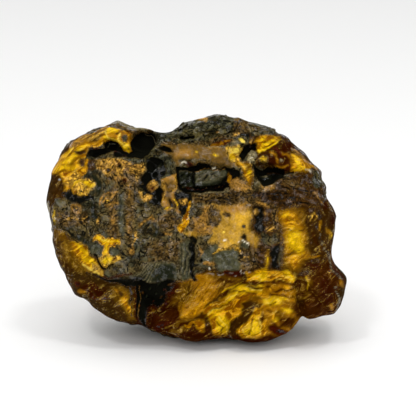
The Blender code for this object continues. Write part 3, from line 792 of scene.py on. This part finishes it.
def paintPlates(p):
    p.patch("ash", (3,-17, 24,-10, 44,-12, 30,-30, 14,-44, 5,-60, -1,-40))
    p.spot("tan", (10,-62, 5, 12))
    p.patch("slate", (9,-72, 30,-50, 50,-38, 63,-47, 53,-65, 50,-104, 20,-107))
    # painted shade: a small black hollow
    p.spot("blackShade", (15,-84, 4, 4))
    p.line("tan", 5, (26,-94, 48,-99))
    p.patch("goldTan", (48,-72, 60,-52, 85,-47, 110,-48, 130,-62, 124,-70, 105,-59, 73,-59, 56,-74))
    p.patch("slate", (56,-66, 75,-56, 100,-55, 118,-62, 122,-90, 110,-112, 60,-112, 53,-90))
    p.patch("bark", (124,-52, 150,-46, 172,-50, 174,-100, 140,-112, 122,-108, 124,-84))
    p.spot("slate", (133,-46, 14, 8, -15))
    # painted highlight: a glint line along an edge
    p.line("paintedGlint", 1.7, (127,-34, 146,-39), edge=1.5)
    p.line("sand", 2, (130,-74, 150,-80))
    p.line("char", 2, (126,-90, 160,-92))
    p.patch("rust", (78,-114, 124,-112, 122,-132, 86,-132))
    # painted highlights: short glint lines over the plates and the crust
    for x, h in pairs((50,-129, 92,-119, 104,-126, 132,-122, -164,-146, -90,-158, -126,-174, -68,-192, -218,-134,
                       -256,-129, -304,-102, -276,-120, -384,140, -346,184)):
        p.line("paintedGlint", 0.7, (x, h, x + 4, h + 1.2), edge=1.5)
    # painted highlights: more short glint lines
    p.line("paintedGlint", 1.5, (38,-109, 43,-118), edge=1.5)
    p.line("paintedGlint", 1, (32,-126, 54,-128), edge=1.5)
    p.line("paintedGlint", 0.8, (64,-124, 78,-121), edge=1.5)
    p.line("paintedGlint", 1.2, (118,-110, 121,-120), edge=1.5)
    p.line("paintedGlint", 1, (142,-116, 152,-119), edge=1.5)


def paintDarkStrips(p):
    p.patch("char", (154,59, 180,59, 188,30, 191,5, 182,-10, 162,10, 158,35))
    p.spot("sand", (161,43, 8, 7))
    p.patch("tan", (162,76, 179,76, 206,62, 180,60))
    p.spot("tan", (192,36, 10, 5, -35))
    p.spot("umber", (196,22, 11, 14))
    p.spot("sand", (204,4, 10, 4.5))
    p.patch("ash", (180,-7, 200,-10, 230,-13, 226,-36, 195,-40, 182,-28))
    p.patch("umber", (172,-44, 210,-42, 210,-60, 192,-66, 176,-86))
    p.patch("char", (213,-45, 225,-40, 232,-60, 226,-90, 234,-114, 210,-107, 207,-70))
    p.patch("slate", (226,-44, 248,-50, 248,-96, 234,-106, 227,-86, 232,-60))
    p.line("brass", 7, (198,-62, 195,-90, 192,-116), edge=5)
    p.line("honey", 1.2, (196,-76, 193,-104), edge=2)
    p.patch("bark", (208,56, 230,58, 234,14, 247,-10, 246,-50, 228,-40, 219,-10, 210,15))
    p.line("sand", 2.5, (224,24, 238,12, 234,2))


def paintYellowWindow(p):
    p.patch("cola", (226,64, 306,58, 314,-20, 316,-80, 286,-124, 240,-124, 236,-40), edge=14)
    p.patch("brass", (230,56, 296,50, 310,10, 316,-50, 310,-90, 286,-116, 248,-116, 242,-40), edge=12)
    p.patch("amber", (234,54, 245,53, 274,47, 288,10, 296,-10, 298,-54, 306,-74, 284,-96, 268,-114, 256,-90,
        246,-40, 240,15), edge=13)
    p.spot("gold", (256,24, 15, 22, 10), edge=12)
    p.spot("honey", (250,40, 7, 5, 20), edge=7)
    p.spot("honey", (269,-26, 17, 27, 8), edge=13)
    p.spot("honey", (284,-54, 13, 13, -30), edge=11)
    p.spot("gold", (274,-82, 10, 16, 15), edge=9)
    p.line("umber", 1.6, (248,-4, 270,-7, 295,-4))
    p.line("umber", 1.4, (253,33, 263,24, 277,19))
    p.line("umber", 1, (260,-50, 272,-58, 290,-56))
    p.spot("smoke", (266,-68, 13, 4.5, 10))
    p.line("umber", 2, (240,48, 243,43))


def paintRightSide(p):
    p.patch("smoke", (306,62, 354,65, 354,-10, 364,-76, 340,-106, 300,-115, 294,-96, 320,-72, 308,-50, 304,0),
        edge=10)
    p.spot("cola", (336,-46, 16, 50, 10), edge=14)
    p.spot("ember", (324,-104, 26, 12, -15), edge=10)
    p.spot("umber", (322,50, 13, 7.8, 20), (309,20, 9, 5.4, 60), (336,4, 10, 6, 80), (316,-34, 8, 4.8, 70),
        (344,-32, 9, 5.4, 75), (326,-92, 12, 7.2, 10), (304,-108, 9, 5.4, -20), (352,-84, 8, 4.8, 60))
    p.line("goldTan", 2, (318,18, 316,34, 326,42, 332,32, 326,20))
    p.spot("char", (340,36, 6, 11, 20))
    p.line("gold", 2, (348,16, 345,-8))
    p.line("darkAmber", 3, (326,-16, 334,-42, 344,-60), edge=5)
    p.line("amber", 2, (306,-80, 334,-76), edge=4)
    p.patch("smoke", (350,65, 364,96, 386,78, 412,20, 406,-50, 396,-84, 360,-62, 354,-10))
    p.spot("honey", (377,-20, 3, 7))
    p.spot("gold", (370,-12, 3, 8, 30))
    p.spot("ember", (360,68, 8, 18), (386,30, 8, 24, -10))
    p.line("tan", 2, (332,104, 348,76))


def paintTopRight(p):
    p.patch("umber", (148,296, 210,290, 254,270, 310,214, 360,170, 376,110, 350,104, 300,130, 250,150, 210,170,
        170,174, 156,210))
    p.patch("cola", (164,256, 210,266, 244,256, 284,216, 316,186, 328,164, 290,156, 250,158, 210,174, 174,178,
        162,210), edge=8)
    p.spot("ember", (236,206, 14, 9, -40), (260,226, 10, 20, -50))
    p.spot("rust", (234,212, 20, 6, -35), edge=7)
    p.spot("ember", (212,188, 18, 10, -20), edge=7)
    p.spot("rust", (262,176, 14, 7, -10), edge=6)
    p.patch("ash", (146,304, 210,290, 236,270, 216,260, 174,256, 154,264))
    p.spot("bark", (163,282, 14, 6, -10))
    p.patch("gold", (172,244, 184,257, 210,260, 234,254, 226,240, 206,228, 184,214, 174,216, 176,230), edge=6)
    for step, (x, h, length) in enumerate(((184, 216, 12), (194, 220, 16), (206, 227, 17), (222, 236, 17),
                                           (212, 244, 16), (198, 236, 16), (188, 246, 10))):
        p.spot("honey", (x, h, length, 4.5, 24 + 3 * step), edge=3)
        p.spot("darkAmber", (x + 6, h - 6.5, length * 0.6, 1.6, 28), edge=2.5)
    p.spot("bark", (187,189, 14, 11))
    p.spot("honey", (186,188, 7.5, 6))
    p.spot("ember", (220,198, 15, 13, 20), edge=7)
    p.line("amber", 2.5, (210,208, 222,200, 228,186), edge=5)
    p.line("amber", 2, (246,210, 256,200, 264,182), edge=5)
    p.spot("ember", (248,172, 18, 11))
    p.line("amber", 1.5, (220,176, 236,172, 256,176), edge=4)
    p.spot("ember", (242,194, 16, 8, -20), edge=6)
    # painted highlight: a pale grey spot
    p.spot("paleHighlight", (239,189, 4.5, 4.5))
    p.patch("gold", (264,204, 288,200, 300,187, 324,174, 316,159, 295,160, 264,161, 270,180), edge=6)
    p.spot("honey", (276,194, 9, 3.5, -30), (280,182, 10, 3.5, -50), (289,172, 11, 3.5, -55),
        (302,170, 10, 3.5, -35), (310,164, 8, 3.5, -20), (278,168, 8, 3.5, 10), edge=2.5)
    p.line("tan", 4, (270,224, 290,209, 310,190, 336,166))
    p.line("amber", 5, (304,186, 326,170))
    p.patch("creamAndHighlight", (116,249, 134,246, 136,237, 120,236))
    p.spot("sand", (110,263, 9, 5), (159,246, 4, 6))
    # painted shade: a black hollow
    p.patch("blackShade", (118,206, 132,225, 150,233, 170,237, 173,218, 154,216, 138,202, 126,190))
    p.spot("rust", (159,229, 9, 4))
    # painted sheen: a pale grey patch on a glossy ridge
    p.patch("paleHighlight", (144,204, 158,216, 166,210, 164,180, 152,176, 142,188))
    # painted highlights: short glint lines
    p.line("paintedGlint", 1, (150,188, 156,189), edge=1.5)
    p.line("paintedGlint", 0.7, (244,155, 266,158), (306,166, 324,154), edge=1.5)
    # painted highlight: a pale grey streak
    p.line("paleHighlight", 1.4, (142,290, 150,279, 152,270), edge=1.5)
    # painted shade: a black pit
    p.patch("blackShade", (163,174, 180,165, 200,173, 240,170, 242,156, 276,160, 246,149, 228,140, 210,126, 185,128,
        170,145))
    p.patch("moss", (180,150, 194,156, 218,152, 210,144, 192,137, 180,142), edge=8)
    p.spot("umber", (214,160, 16, 3, -8))
    # painted highlights: a pale grey spot in the dark hole and a pale grey line
    p.spot("paleHighlight", (194,152, 7, 2.5, 20))
    p.line("paleHighlight", 1.8, (240,152, 260,155, 285,157))
    p.patch("tan", (182,127, 200,124, 225,129, 224,112, 190,112))
    p.patch("umber", (224,140, 310,154, 340,134, 336,96, 250,94, 220,110), edge=6)
    p.spot("bark", (266,130, 26, 10, -8), edge=8)
    p.patch("olive", (326,156, 342,160, 360,116, 346,106, 332,126))


def paintFace(x, h):
    p = Painter(x, h, "smoke")
    p.lay("ash", 10.0 * crustEdgeHeight(p.x / 10.0) - p.h, 4)
    p.patch("smoke", (345,80, 460,80, 460,-300, 280,-300, 290,-140, 335,-100), edge=6)
    p.patch("cola", (200,80, 370,80, 370,-120, 200,-120), edge=20)
    p.patch("umber", (140,80, 220,80, 220,-120, 140,-120), edge=20)
    p.patch("olive", (-140,210, -70,200, -60,150, -90,120, -90,70, -140,60, -156,100, -150,150))
    p.patch("char", (-136,196, -86,196, -80,164, -98,130, -96,60, -126,68, -134,96, -156,110, -154,146, -138,150))
    # painted shade: black hollows in the dark mass
    p.spot("blackShade", (-106,186, 18, 10, -20), (-128,166, 10, 14, 10), (-136,134, 12, 17, 10), (-96,92, 9, 22, 5),
        (-114,144, 8, 6))
    p.line("moss", 2.5, (-94,180, -104,164, -118,154))
    p.line("char", 5, (-146,124, -132,104, -110,80))
    p.spot("sand", (-115,119, 15, 10, 10), (-134,86, 15, 9, 15))
    for paintPart in (paintSmoothBand, paintTopLobe, paintTopRight, paintLeftLobe, paintCrumbs, paintHoles,
                      paintLeftCrust, paintGoldColumn, paintFibrousBand, paintSocket, paintTanWindow, paintPlates,
                      paintDarkStrips, paintYellowWindow, paintRightSide, paintLowerLeft, paintCrustPockets,
                      paintYellowFork, paintAmber, paintFolds, paintKnob, paintCave):
        paintPart(p)
    return p.coat


backSkin = {
    "waves": ((15.0, 1.0, 61), (6.0, 0.6, 62), (2.4, 0.4, 63), (1.2, 0.2, 66)),
    "layers": (("amber", 0.3, 4.0, 1.0), ("smoke", -0.1, 4.0, 1.0), ("ember", -0.3, 5.0, 1.0),
               ("umber", -0.45, 6.0, 0.8), ("bark", -0.7, 6.0, 0.8), ("ash", -1.0, 6.0, 0.8)),
    "foot": (-17.0, -25.0, 1.4),  # where the dark foot starts and is full, and how dark
    "rim": (-0.75, -0.15, 0.9),
    "clearness": 0.8,
}


def paintBack(points, facing):
    # the back broke fresh in places and kept its thin brown skin in others, and the foot and the rim are dark
    p = Painter(points[:, 0], points[:, 2], "gold")
    skin = waves(points, backSkin["waves"])
    for (low, high, darkness), place in ((backSkin["foot"], points[:, 2]), (backSkin["rim"], facing)):
        skin -= darkness * smoothStep(low, high, place)
    for finish, level, steepness, edge in backSkin["layers"]:
        p.lay(finish, (skin - level) * steepness, edge)
    p.coat[:, layers.index("milk")] *= backSkin["clearness"]
    return p.coat


def lumpLattice(cells):
    # whole-number corners of a box's surface and its outward faces, the back's cells twice as wide as the rest
    across, through, up = cells
    index, faces = {}, []

    def corner(*place):
        return index.setdefault(place, len(index))

    for i in range(across):
        for k in range(up):
            faces.append((corner(i, 0, k), corner(i + 1, 0, k), corner(i + 1, 0, k + 1), corner(i, 0, k + 1)))
    for i in range(0, across, 2):
        for k in range(0, up, 2):
            faces.append([corner(i + a, through, k + b) for a, b in ((0, 0), (0, 2), (2, 2), (2, 0))])
    ring = [(i, 0) for i in range(across)] + [(across, k) for k in range(up)]
    ring += [(i, up) for i in range(across, 0, -1)] + [(0, k) for k in range(up, 0, -1)]
    ring.append(ring[0])
    for (i0, k0), (i1, k1) in zip(ring, ring[1:]):
        for j in range(through - 1):
            faces.append((corner(i0, j, k0), corner(i0, j + 1, k0), corner(i1, j + 1, k1), corner(i1, j, k1)))
    for (i0, k0), (i1, k1), (i2, k2) in zip(ring[::2], ring[1::2], ring[2::2]):
        last = through - 1
        faces.append((corner(i0, last, k0), corner(i0, through, k0), corner(i2, through, k2), corner(i2, last, k2),
                      corner(i1, last, k1)))
    return np.array(list(index)), faces


def latticeDirections(corners, cells):
    spread = corners / np.array(cells)
    spread[:, 1] *= 0.6 + 0.4 * spread[:, 1]
    spread = 2.0 * spread - 1.0
    return spread / np.linalg.norm(spread, axis=1, keepdims=True)


fineForms = {
    "filmBend": (2.6, 0.9, (81, 82, 83)),
    "film": ((4.2, 0.5, 84), (1.9, 0.42, 85), (1.0, 0.25, 86)),  # size, height and seed of each wave
    "crumbs": ((1.8, 0.3, 70), (0.9, 0.2, 71)),
    "furrows": (3.4, 0.3, 72),
    "fibres": ((0.8, 0.25, 73),),
    "fibreStretch": 5.0,
    "folds": ((2.2, 0.6, 74), (1.1, 0.3, 76)),
    "foldStretch": 6.0,
    "foldTurn": math.radians(32),
    "ripples": ((2.2, 0.15, 75),),
    "filmStep": 0.2,
    "fibrousPlace": (14.0, 8.4, 17.0, 2.8, -2),
    "foldedPlace": (14.0, -21.5, 17.0, 9.5, 12),
}


def filmSpread(points):
    # where dark film gathers, from -1 to 1
    size, reach, seeds = fineForms["filmBend"]
    bent = points + reach * np.stack([waveNoise(points, size, seed) for seed in seeds], axis=1)
    return waves(bent, fineForms["film"])


def fineRelief(points, coat, film):
    # crumbs and fibres of the crust, and the folds and ripples of the bare resin
    x, h = points[:, 0], points[:, 2]
    turn = fineForms["foldTurn"]
    along = points / (fineForms["fibreStretch"], 1.0, 1.0)
    fold = np.stack([(x * math.cos(turn) + h * math.sin(turn)) / fineForms["foldStretch"], points[:, 1],
                     h * math.cos(turn) - x * math.sin(turn)], axis=1)
    furrowSize, furrowDepth, furrowSeed = fineForms["furrows"]
    crumb = waves(points, fineForms["crumbs"])
    crumb -= furrowDepth * np.maximum(ridgeNoise(points, furrowSize, furrowSeed) - 0.5, 0.0)
    crumb *= 0.35 + 0.65 * np.minimum(coat[:, layers.index("uneven")], 1.0)
    ripple = waves(fold, fineForms["folds"]) + waves(points, fineForms["ripples"])
    cover = coat[:, layers.index("cover")]
    fibrous = (1.0 - smoothStep(0.8, 1.3, ovalDistance(x, h, *fineForms["fibrousPlace"]))) * cover
    folded = 1.0 - smoothStep(0.8, 1.2, ovalDistance(x, h, *fineForms["foldedPlace"]))
    crumb *= cover * (1.0 - 0.6 * fibrous)
    filmEdge = fineForms["filmStep"] * smoothStep(-0.06, 0.06, film) * cover
    bare = (1.0 - cover) * ripple * (0.3 + 0.9 * folded)
    return crumb + fibrous * waves(along, fineForms["fibres"]) + filmEdge + bare


def makeLumpMesh():
    corners, faces = lumpLattice(lump["cells"])
    directions = latticeDirections(corners, lump["cells"])
    points, facing = roundedBody(directions)
    for wave in lump["waves"]:
        points = points + directions * waves(points, [wave])[:, None]
    x, h = points[:, 0].copy(), points[:, 2].copy()
    points[:, 1] -= faceRelief(x, h) * smoothStep(0.18, 0.55, facing)
    points[:, 1] += backRelief(x, h) * smoothStep(0.1, 0.5, -facing)
    lean = np.array(Matrix.Rotation(-math.radians(lump["lean"]), 3, "X"))
    plain = points @ lean.T
    middle = (plain.min(axis=0) + plain.max(axis=0)) / 2

    onFace = smoothStep(0.04, 0.16, facing + waves(points, lump["raggedEdge"]))[:, None]
    coat = paintBack(points, facing) * (1.0 - onFace) + paintFace(x, h) * onFace
    film = coat[:, layers.index("film")] * 1.6 - 0.8 + filmSpread(points)
    toFront = smoothStep(0.05, 0.5, facing)
    rise = coat[:, layers.index("rise")]
    relief = fineRelief(points, coat, film)
    points[:, 1] -= (rise + relief) * toFront
    points += directions * ((0.25 * rise + relief) * (1.0 - toFront))[:, None]

    points = points @ lean.T
    points[:, 2] = np.maximum(points[:, 2], lump["restLevel"])
    points -= (middle[0], middle[1], lump["restLevel"])
    mesh = bpy.data.meshes.new("copalLump")
    mesh.from_pydata((points * mm).tolist(), [], faces)
    mesh.shade_smooth()
    colour = mesh.color_attributes.new("paint", "FLOAT_COLOR", "POINT")
    colour.data.foreach_set("color", np.append(coat[:, :3], np.ones((len(x), 1)), axis=1).ravel())
    values = {name: coat[:, layers.index(name)] for name in ("cover", "milk", "uneven")}
    for name, value in {**values, "film": film, "proud": rise + relief}.items():
        mesh.attributes.new(name, "FLOAT", "POINT").data.foreach_set("value", value)
    return mesh


class Wire:
    # an output socket that can be used in sums
    def __init__(self, shading, socket):
        self.shading, self.socket = shading, socket

    def sum(self, operation, first, second=0.0):
        return self.shading.node("ShaderNodeMath", {"operation": operation}, {0: first, 1: second})

    def __add__(self, other):
        return self.sum("ADD", self, other)

    def __radd__(self, other):
        return self.sum("ADD", other, self)

    def __sub__(self, other):
        return self.sum("SUBTRACT", self, other)

    def __rsub__(self, other):
        return self.sum("SUBTRACT", other, self)

    def __mul__(self, other):
        return self.sum("MULTIPLY", self, other)

    def __rmul__(self, other):
        return self.sum("MULTIPLY", other, self)

    def __abs__(self):
        return self.sum("ABSOLUTE", self)

    def between(self, low, high):
        # 0 at low, 1 at high, smooth between them
        return self.shading.node(
            "ShaderNodeMapRange", {"interpolation_type": "SMOOTHSTEP"}, {0: self, 1: low, 2: high, 3: 0.0, 4: 1.0}
        )


class Shading:
    def __init__(self, name):
        self.material = bpy.data.materials.new(name)
        self.material.use_nodes = True
        self.tree = self.material.node_tree
        self.tree.nodes.clear()

    def node(self, kind, settings=None, sockets=None, out=0):
        made = self.tree.nodes.new(kind)
        for name, value in (settings or {}).items():
            setattr(made, name, value)
        for name, value in (sockets or {}).items():
            if isinstance(value, Wire):
                self.tree.links.new(value.socket, made.inputs[name])
            else:
                made.inputs[name].default_value = value
        return Wire(self, made.outputs[out]) if made.outputs else made

    def mixColour(self, factor, first, second, blend="MIX"):
        settings = {"data_type": "RGBA", "blend_type": blend}
        return self.node("ShaderNodeMix", settings, {0: factor, 6: first, 7: second}, 2)

    def noise(self, place, size, detail=4.0, roughness=0.55, distortion=0.0):
        sockets = {"Vector": place, "Scale": 1.0 / (size * mm), "Detail": detail, "Roughness": roughness,
                   "Distortion": distortion}
        return self.node("ShaderNodeTexNoise", {}, sockets)

    def vein(self, place, form, low, high):
        # 1 along thin lines of a noise, 0 between them
        return 1.0 - abs(self.noise(place, *form) - 0.5).between(low, high)

    def bump(self, height, strength, depth):
        return self.node("ShaderNodeBump", {}, {"Strength": strength, "Distance": depth * mm, "Height": height})

    def attribute(self, name, output="Fac"):
        return self.node("ShaderNodeAttribute", {"attribute_name": name}, {}, output)


resin = {
    "ior": 1.54,
    "absorbColour": (0.93, 0.8, 0.05, 1.0),
    "absorbDensity": 150.0,
    "depths": (1.0, 0.86, 0.35, 1.0),  # clear resin is tinted between this and its finish's colour
    # painted shade colour, multiplied into the low places of the foil bump
    "valleyShade": (0.17, 0.09, 0.03, 1.0),
    "foilTurn": math.radians(32),
    "foilStretch": 2.6,
    "sheets": (2.1, 6.0, 0.62, 1.5),  # size in millimetres, detail, roughness, distortion
    "creases": (1.6, 2.0, 0.55, 2.0),
    "threads": (0.7, 3.0, 0.55, 2.0),
    # painted highlight colour for crease lines on the bump's crests
    "crease": (1.0, 0.66, 0.08, 1.0),
    "dust": (0.7, 0.56, 0.36, 1.0),
    "bump": (0.8, 0.8),  # strength, depth in millimetres
    "wetRoughness": 0.03,
}
crust = {
    "broad": (3.4, 3.0, 0.5, 0.8),
    "grain": (1.6, 3.0, 0.5, 1.0),
    "specks": (0.55, 2.0),
    "folds": (4.8, 2.0, 0.55, 1.8),
    "wrinkles": (2.8, 2.0, 0.55, 1.4),
    "crumbs": (1.4, 3.0, 0.55, 0.8),
    "contrast": 5.2,
    "dark": (0.3, 0.27, 0.2, 1.0),
    "light": (1.6, 1.55, 1.32, 1.0),
    "filmDark": (0.008, 0.009, 0.005, 1.0),
    "filmLight": (0.07, 0.067, 0.034, 1.0),
    # colour of the cracks and of the painted shade in low places
    "crackAndShadeColour": (0.004, 0.004, 0.0025, 1.0),
    "crumbColour": (0.4, 0.25, 0.08, 1.0),
    "bump": (0.9, 0.8),
    "gloss": (0.04, 1.0),  # of dull and of wet places
    "wetSize": 1.6,
    "wetRoughness": 0.05,
}
white = (1.0, 1.0, 1.0, 1.0)


def wetAndDull(s, colour, bump, wetness, wetRoughness):
    # one colour, shining only where it is wet
    dull = s.node("ShaderNodeBsdfPrincipled", {}, {
        "Base Color": colour, "Roughness": 0.6, "Specular IOR Level": 0.0, "Normal": bump})
    wet = s.node("ShaderNodeBsdfPrincipled", {}, {
        "Base Color": colour, "Roughness": wetRoughness, "Specular IOR Level": 0.5, "Normal": bump})
    return s.node("ShaderNodeMixShader", {}, {0: wetness, 1: dull, 2: wet})


def resinShaders(s, place, paint, uneven, milk, proud):
    # clear and cloudy resin, creased like foil inside, with painted shade in the valleys of its bump and painted
    # highlight lines on its crests
    along = s.node("ShaderNodeMapping", {"vector_type": "TEXTURE"}, {
        "Vector": place, "Rotation": (0, -resin["foilTurn"], 0), "Scale": (resin["foilStretch"], 1.0, 1.0)})
    sheet = s.noise(along, *resin["sheets"]) + proud * 0.12
    crease = s.vein(along, resin["creases"], 0.0, 0.05)
    # painted shade in the bump's valleys and painted highlight lines on its crests
    valleyShade = s.mixColour(1.0, paint, resin["valleyShade"], "MULTIPLY")
    tint = s.mixColour(sheet.between(0.6, 0.42) * uneven, paint, valleyShade)
    crestHighlight = sheet.between(0.5, 0.64)
    threads = s.noise(along, *resin["threads"]).between(0.4, 0.48)
    dusty = s.mixColour(threads, resin["dust"], white)
    body = s.mixColour(crease * crestHighlight * uneven * 0.8, tint, resin["crease"])
    body = s.mixColour(uneven, body, s.mixColour(1.0, body, dusty, "MULTIPLY"))
    bump = s.bump(sheet * 1.2 + crease * 0.14 + threads * 0.06, *resin["bump"])
    clear = s.node("ShaderNodeBsdfPrincipled", {}, {
        "Base Color": s.mixColour(0.5, paint, resin["depths"]),
        "Roughness": 0.02,
        "IOR": resin["ior"],
        "Specular IOR Level": 0.02,
        "Transmission Weight": 1.0,
        "Normal": bump,
    })
    cloudy = wetAndDull(s, body, bump, sheet.between(0.58, 0.66) * (0.3 + 0.7 * uneven), resin["wetRoughness"])
    return s.node("ShaderNodeMixShader", {}, {0: milk - (sheet - 0.5) * uneven * 0.8, 1: clear, 2: cloudy})


def crustShader(s, place, paint, uneven, film, proud, noises):
    # dusty crumbs and dark film with cracks, painted shade in its low places, wet in places
    broad, grain, speck = noises
    folds = s.vein(place, crust["folds"], 0.008, 0.04) * broad.between(0.42, 0.52)
    wrinkles = s.vein(place, crust["wrinkles"], 0.008, 0.055) * broad.between(0.52, 0.42)
    cracks = (folds + wrinkles * 0.6) * uneven.between(0.1, 0.7)
    tone = (broad * 0.5 + grain * 0.5 + speck * 0.8 - 0.9) * uneven * crust["contrast"] + 0.5
    colour = s.mixColour(1.0, paint, s.mixColour(tone, crust["dark"], crust["light"]), "MULTIPLY")
    filmMask = (film + (grain - 0.5) * uneven * 2.0).between(-0.35, 0.35)
    filmTone = (grain * 0.6 + broad * 0.4).between(0.4, 0.62)
    colour = s.mixColour(filmMask * 0.85, colour, s.mixColour(filmTone, crust["filmDark"], crust["filmLight"]))
    crumbs = s.noise(place, *crust["crumbs"]).between(0.63, 0.67) * uneven
    colour = s.mixColour(crumbs * 0.25, colour, crust["crumbColour"])
    # painted shade where the relief lies low, then the cracks darkened
    for lowShadeAndCrack in (proud.between(0.1, -0.8), cracks):
        colour = s.mixColour(lowShadeAndCrack, colour, crust["crackAndShadeColour"])
    height = (grain * 0.9 + broad * 0.6 + speck * 0.35) * (0.25 + 0.75 * uneven) + filmMask * 0.12 - cracks * 0.35
    dry, wet = crust["gloss"]
    wetPlaces = dry + (wet - dry) * s.noise(place, crust["wetSize"]).between(0.5, 0.6)
    wetness = proud.between(-1.1, -0.4) * (1.0 - cracks) * wetPlaces
    return wetAndDull(s, colour, s.bump(height, *crust["bump"]), wetness, crust["wetRoughness"])


def copalMaterial():
    s = Shading("copal")
    place = s.node("ShaderNodeTexCoord", {}, {}, "Object")
    paint = s.attribute("paint", "Color")
    cover, milk, uneven, film, proud = [s.attribute(name) for name in ("cover", "milk", "uneven", "film", "proud")]
    noises = [s.noise(place, *crust[name]) for name in ("broad", "grain", "specks")]
    mask = (cover + (noises[1] - 0.5) * 1.1 + (noises[2] - 0.5) * 0.5).between(0.38, 0.5)
    bare = resinShaders(s, place, paint, uneven, milk, proud)
    covered = crustShader(s, place, paint, uneven, film, proud, noises)
    surface = s.node("ShaderNodeMixShader", {}, {0: mask, 1: bare, 2: covered})
    absorbed = {"Color": resin["absorbColour"], "Density": resin["absorbDensity"]}
    volume = s.node("ShaderNodeVolumeAbsorption", {}, absorbed)
    s.node("ShaderNodeOutputMaterial", {}, {"Surface": surface, "Volume": volume})
    return s.material


lumpPiece = bpy.data.objects.new("copalLumpSurface", makeLumpMesh())
bpy.context.scene.collection.objects.link(lumpPiece)
lumpPiece.data.materials.append(copalMaterial())
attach(lumpPiece, "root")
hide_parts("copal_lump")
print("lump", sum(len(face.vertices) - 2 for face in lumpPiece.data.polygons), "triangles")


studio = {
    "floorColour": (0.93, 0.93, 0.925, 1.0),
    "floorHalf": 3.0,
    "skyColour": white,
    "skyBlend": (-0.45, 0.35),  # where its front light turns into its back light
    "backLight": 0.8,
    "frontLight": 0.3,
    "cameraDistance": 0.56,
    "cameraHeightAngle": 15.0,
    "frameWidth": 0.1183,  # what the picture spans at the lump
    "aim": (0.0031, 0.0014, 0.0356),
    "sensor": 36.0,
    "lampAim": (0.0, 0.0, 0.03),
    "lamps": (  # name, place, size, watts
        ("overhead", (0.0, -0.3, 1.25), (2.4, 1.8), 7.5),
        ("front", (0.0, -1.2, 0.75), (1.6, 0.4), 5.5),
        ("fillLeft", (-1.2, -0.9, 0.3), (1.3, 0.5), 3.0),
        ("fillRight", (1.2, -0.9, 0.3), (1.3, 0.5), 3.0),
        ("frontLeft", (-0.4, -0.6, 1.1), (0.18, 0.18), 2.6),
        ("frontRight", (0.3, -0.3, 1.2), (0.18, 0.18), 2.2),
    ),
}


def makeFloor():
    mesh = bpy.data.meshes.new("floor")
    half = studio["floorHalf"]
    mesh.from_pydata([(-half, -half, 0), (half, -half, 0), (half, half, 0), (-half, half, 0)], [], [(0, 1, 2, 3)])
    floor = bpy.data.objects.new("floor", mesh)
    bpy.context.scene.collection.objects.link(floor)
    s = Shading("floorPaper")
    surface = s.node("ShaderNodeBsdfPrincipled", {}, {"Base Color": studio["floorColour"], "Roughness": 0.7})
    s.node("ShaderNodeOutputMaterial", {}, {"Surface": surface})
    mesh.materials.append(s.material)


def makeAreaLight(name, place, size, power):
    light = bpy.data.lights.new(name, "AREA")
    light.shape = "RECTANGLE"
    light.size, light.size_y = size
    light.energy = power
    lamp = bpy.data.objects.new(name, light)
    lamp.location = place
    lamp.rotation_euler = (Vector(studio["lampAim"]) - Vector(place)).to_track_quat("-Z", "Y").to_euler()
    bpy.context.scene.collection.objects.link(lamp)


def makeSky():
    world = bpy.data.worlds.new("studio")
    bpy.context.scene.world = world
    world.use_nodes = True
    nodes, links = world.node_tree.nodes, world.node_tree.links
    background = nodes["Background"]
    background.inputs["Color"].default_value = studio["skyColour"]
    coordinates = nodes.new("ShaderNodeTexCoord")
    split = nodes.new("ShaderNodeSeparateXYZ")
    ramp = nodes.new("ShaderNodeMapRange")
    ramp.inputs[1].default_value, ramp.inputs[2].default_value = studio["skyBlend"]
    ramp.inputs[3].default_value, ramp.inputs[4].default_value = studio["frontLight"], studio["backLight"]
    links.new(coordinates.outputs["Generated"], split.inputs[0])
    links.new(split.outputs["Y"], ramp.inputs[0])
    links.new(ramp.outputs[0], background.inputs["Strength"])


def makeCamera():
    data = bpy.data.cameras.new("camera")
    camera = bpy.data.objects.new("camera", data)
    angle = math.radians(studio["cameraHeightAngle"])
    aim = Vector(studio["aim"])
    toCamera = Vector((0, -math.cos(angle), math.sin(angle)))
    camera.location = aim + toCamera * studio["cameraDistance"]
    camera.rotation_euler = (-toCamera).to_track_quat("-Z", "Y").to_euler()
    data.sensor_width = studio["sensor"]
    data.lens = data.sensor_width * studio["cameraDistance"] / studio["frameWidth"]
    bpy.context.scene.collection.objects.link(camera)
    bpy.context.scene.camera = camera


makeFloor()
makeSky()
for lamp in studio["lamps"]:
    makeAreaLight(*lamp)
makeCamera()
bpy.context.scene.view_settings.view_transform = "Standard"
print("stage")
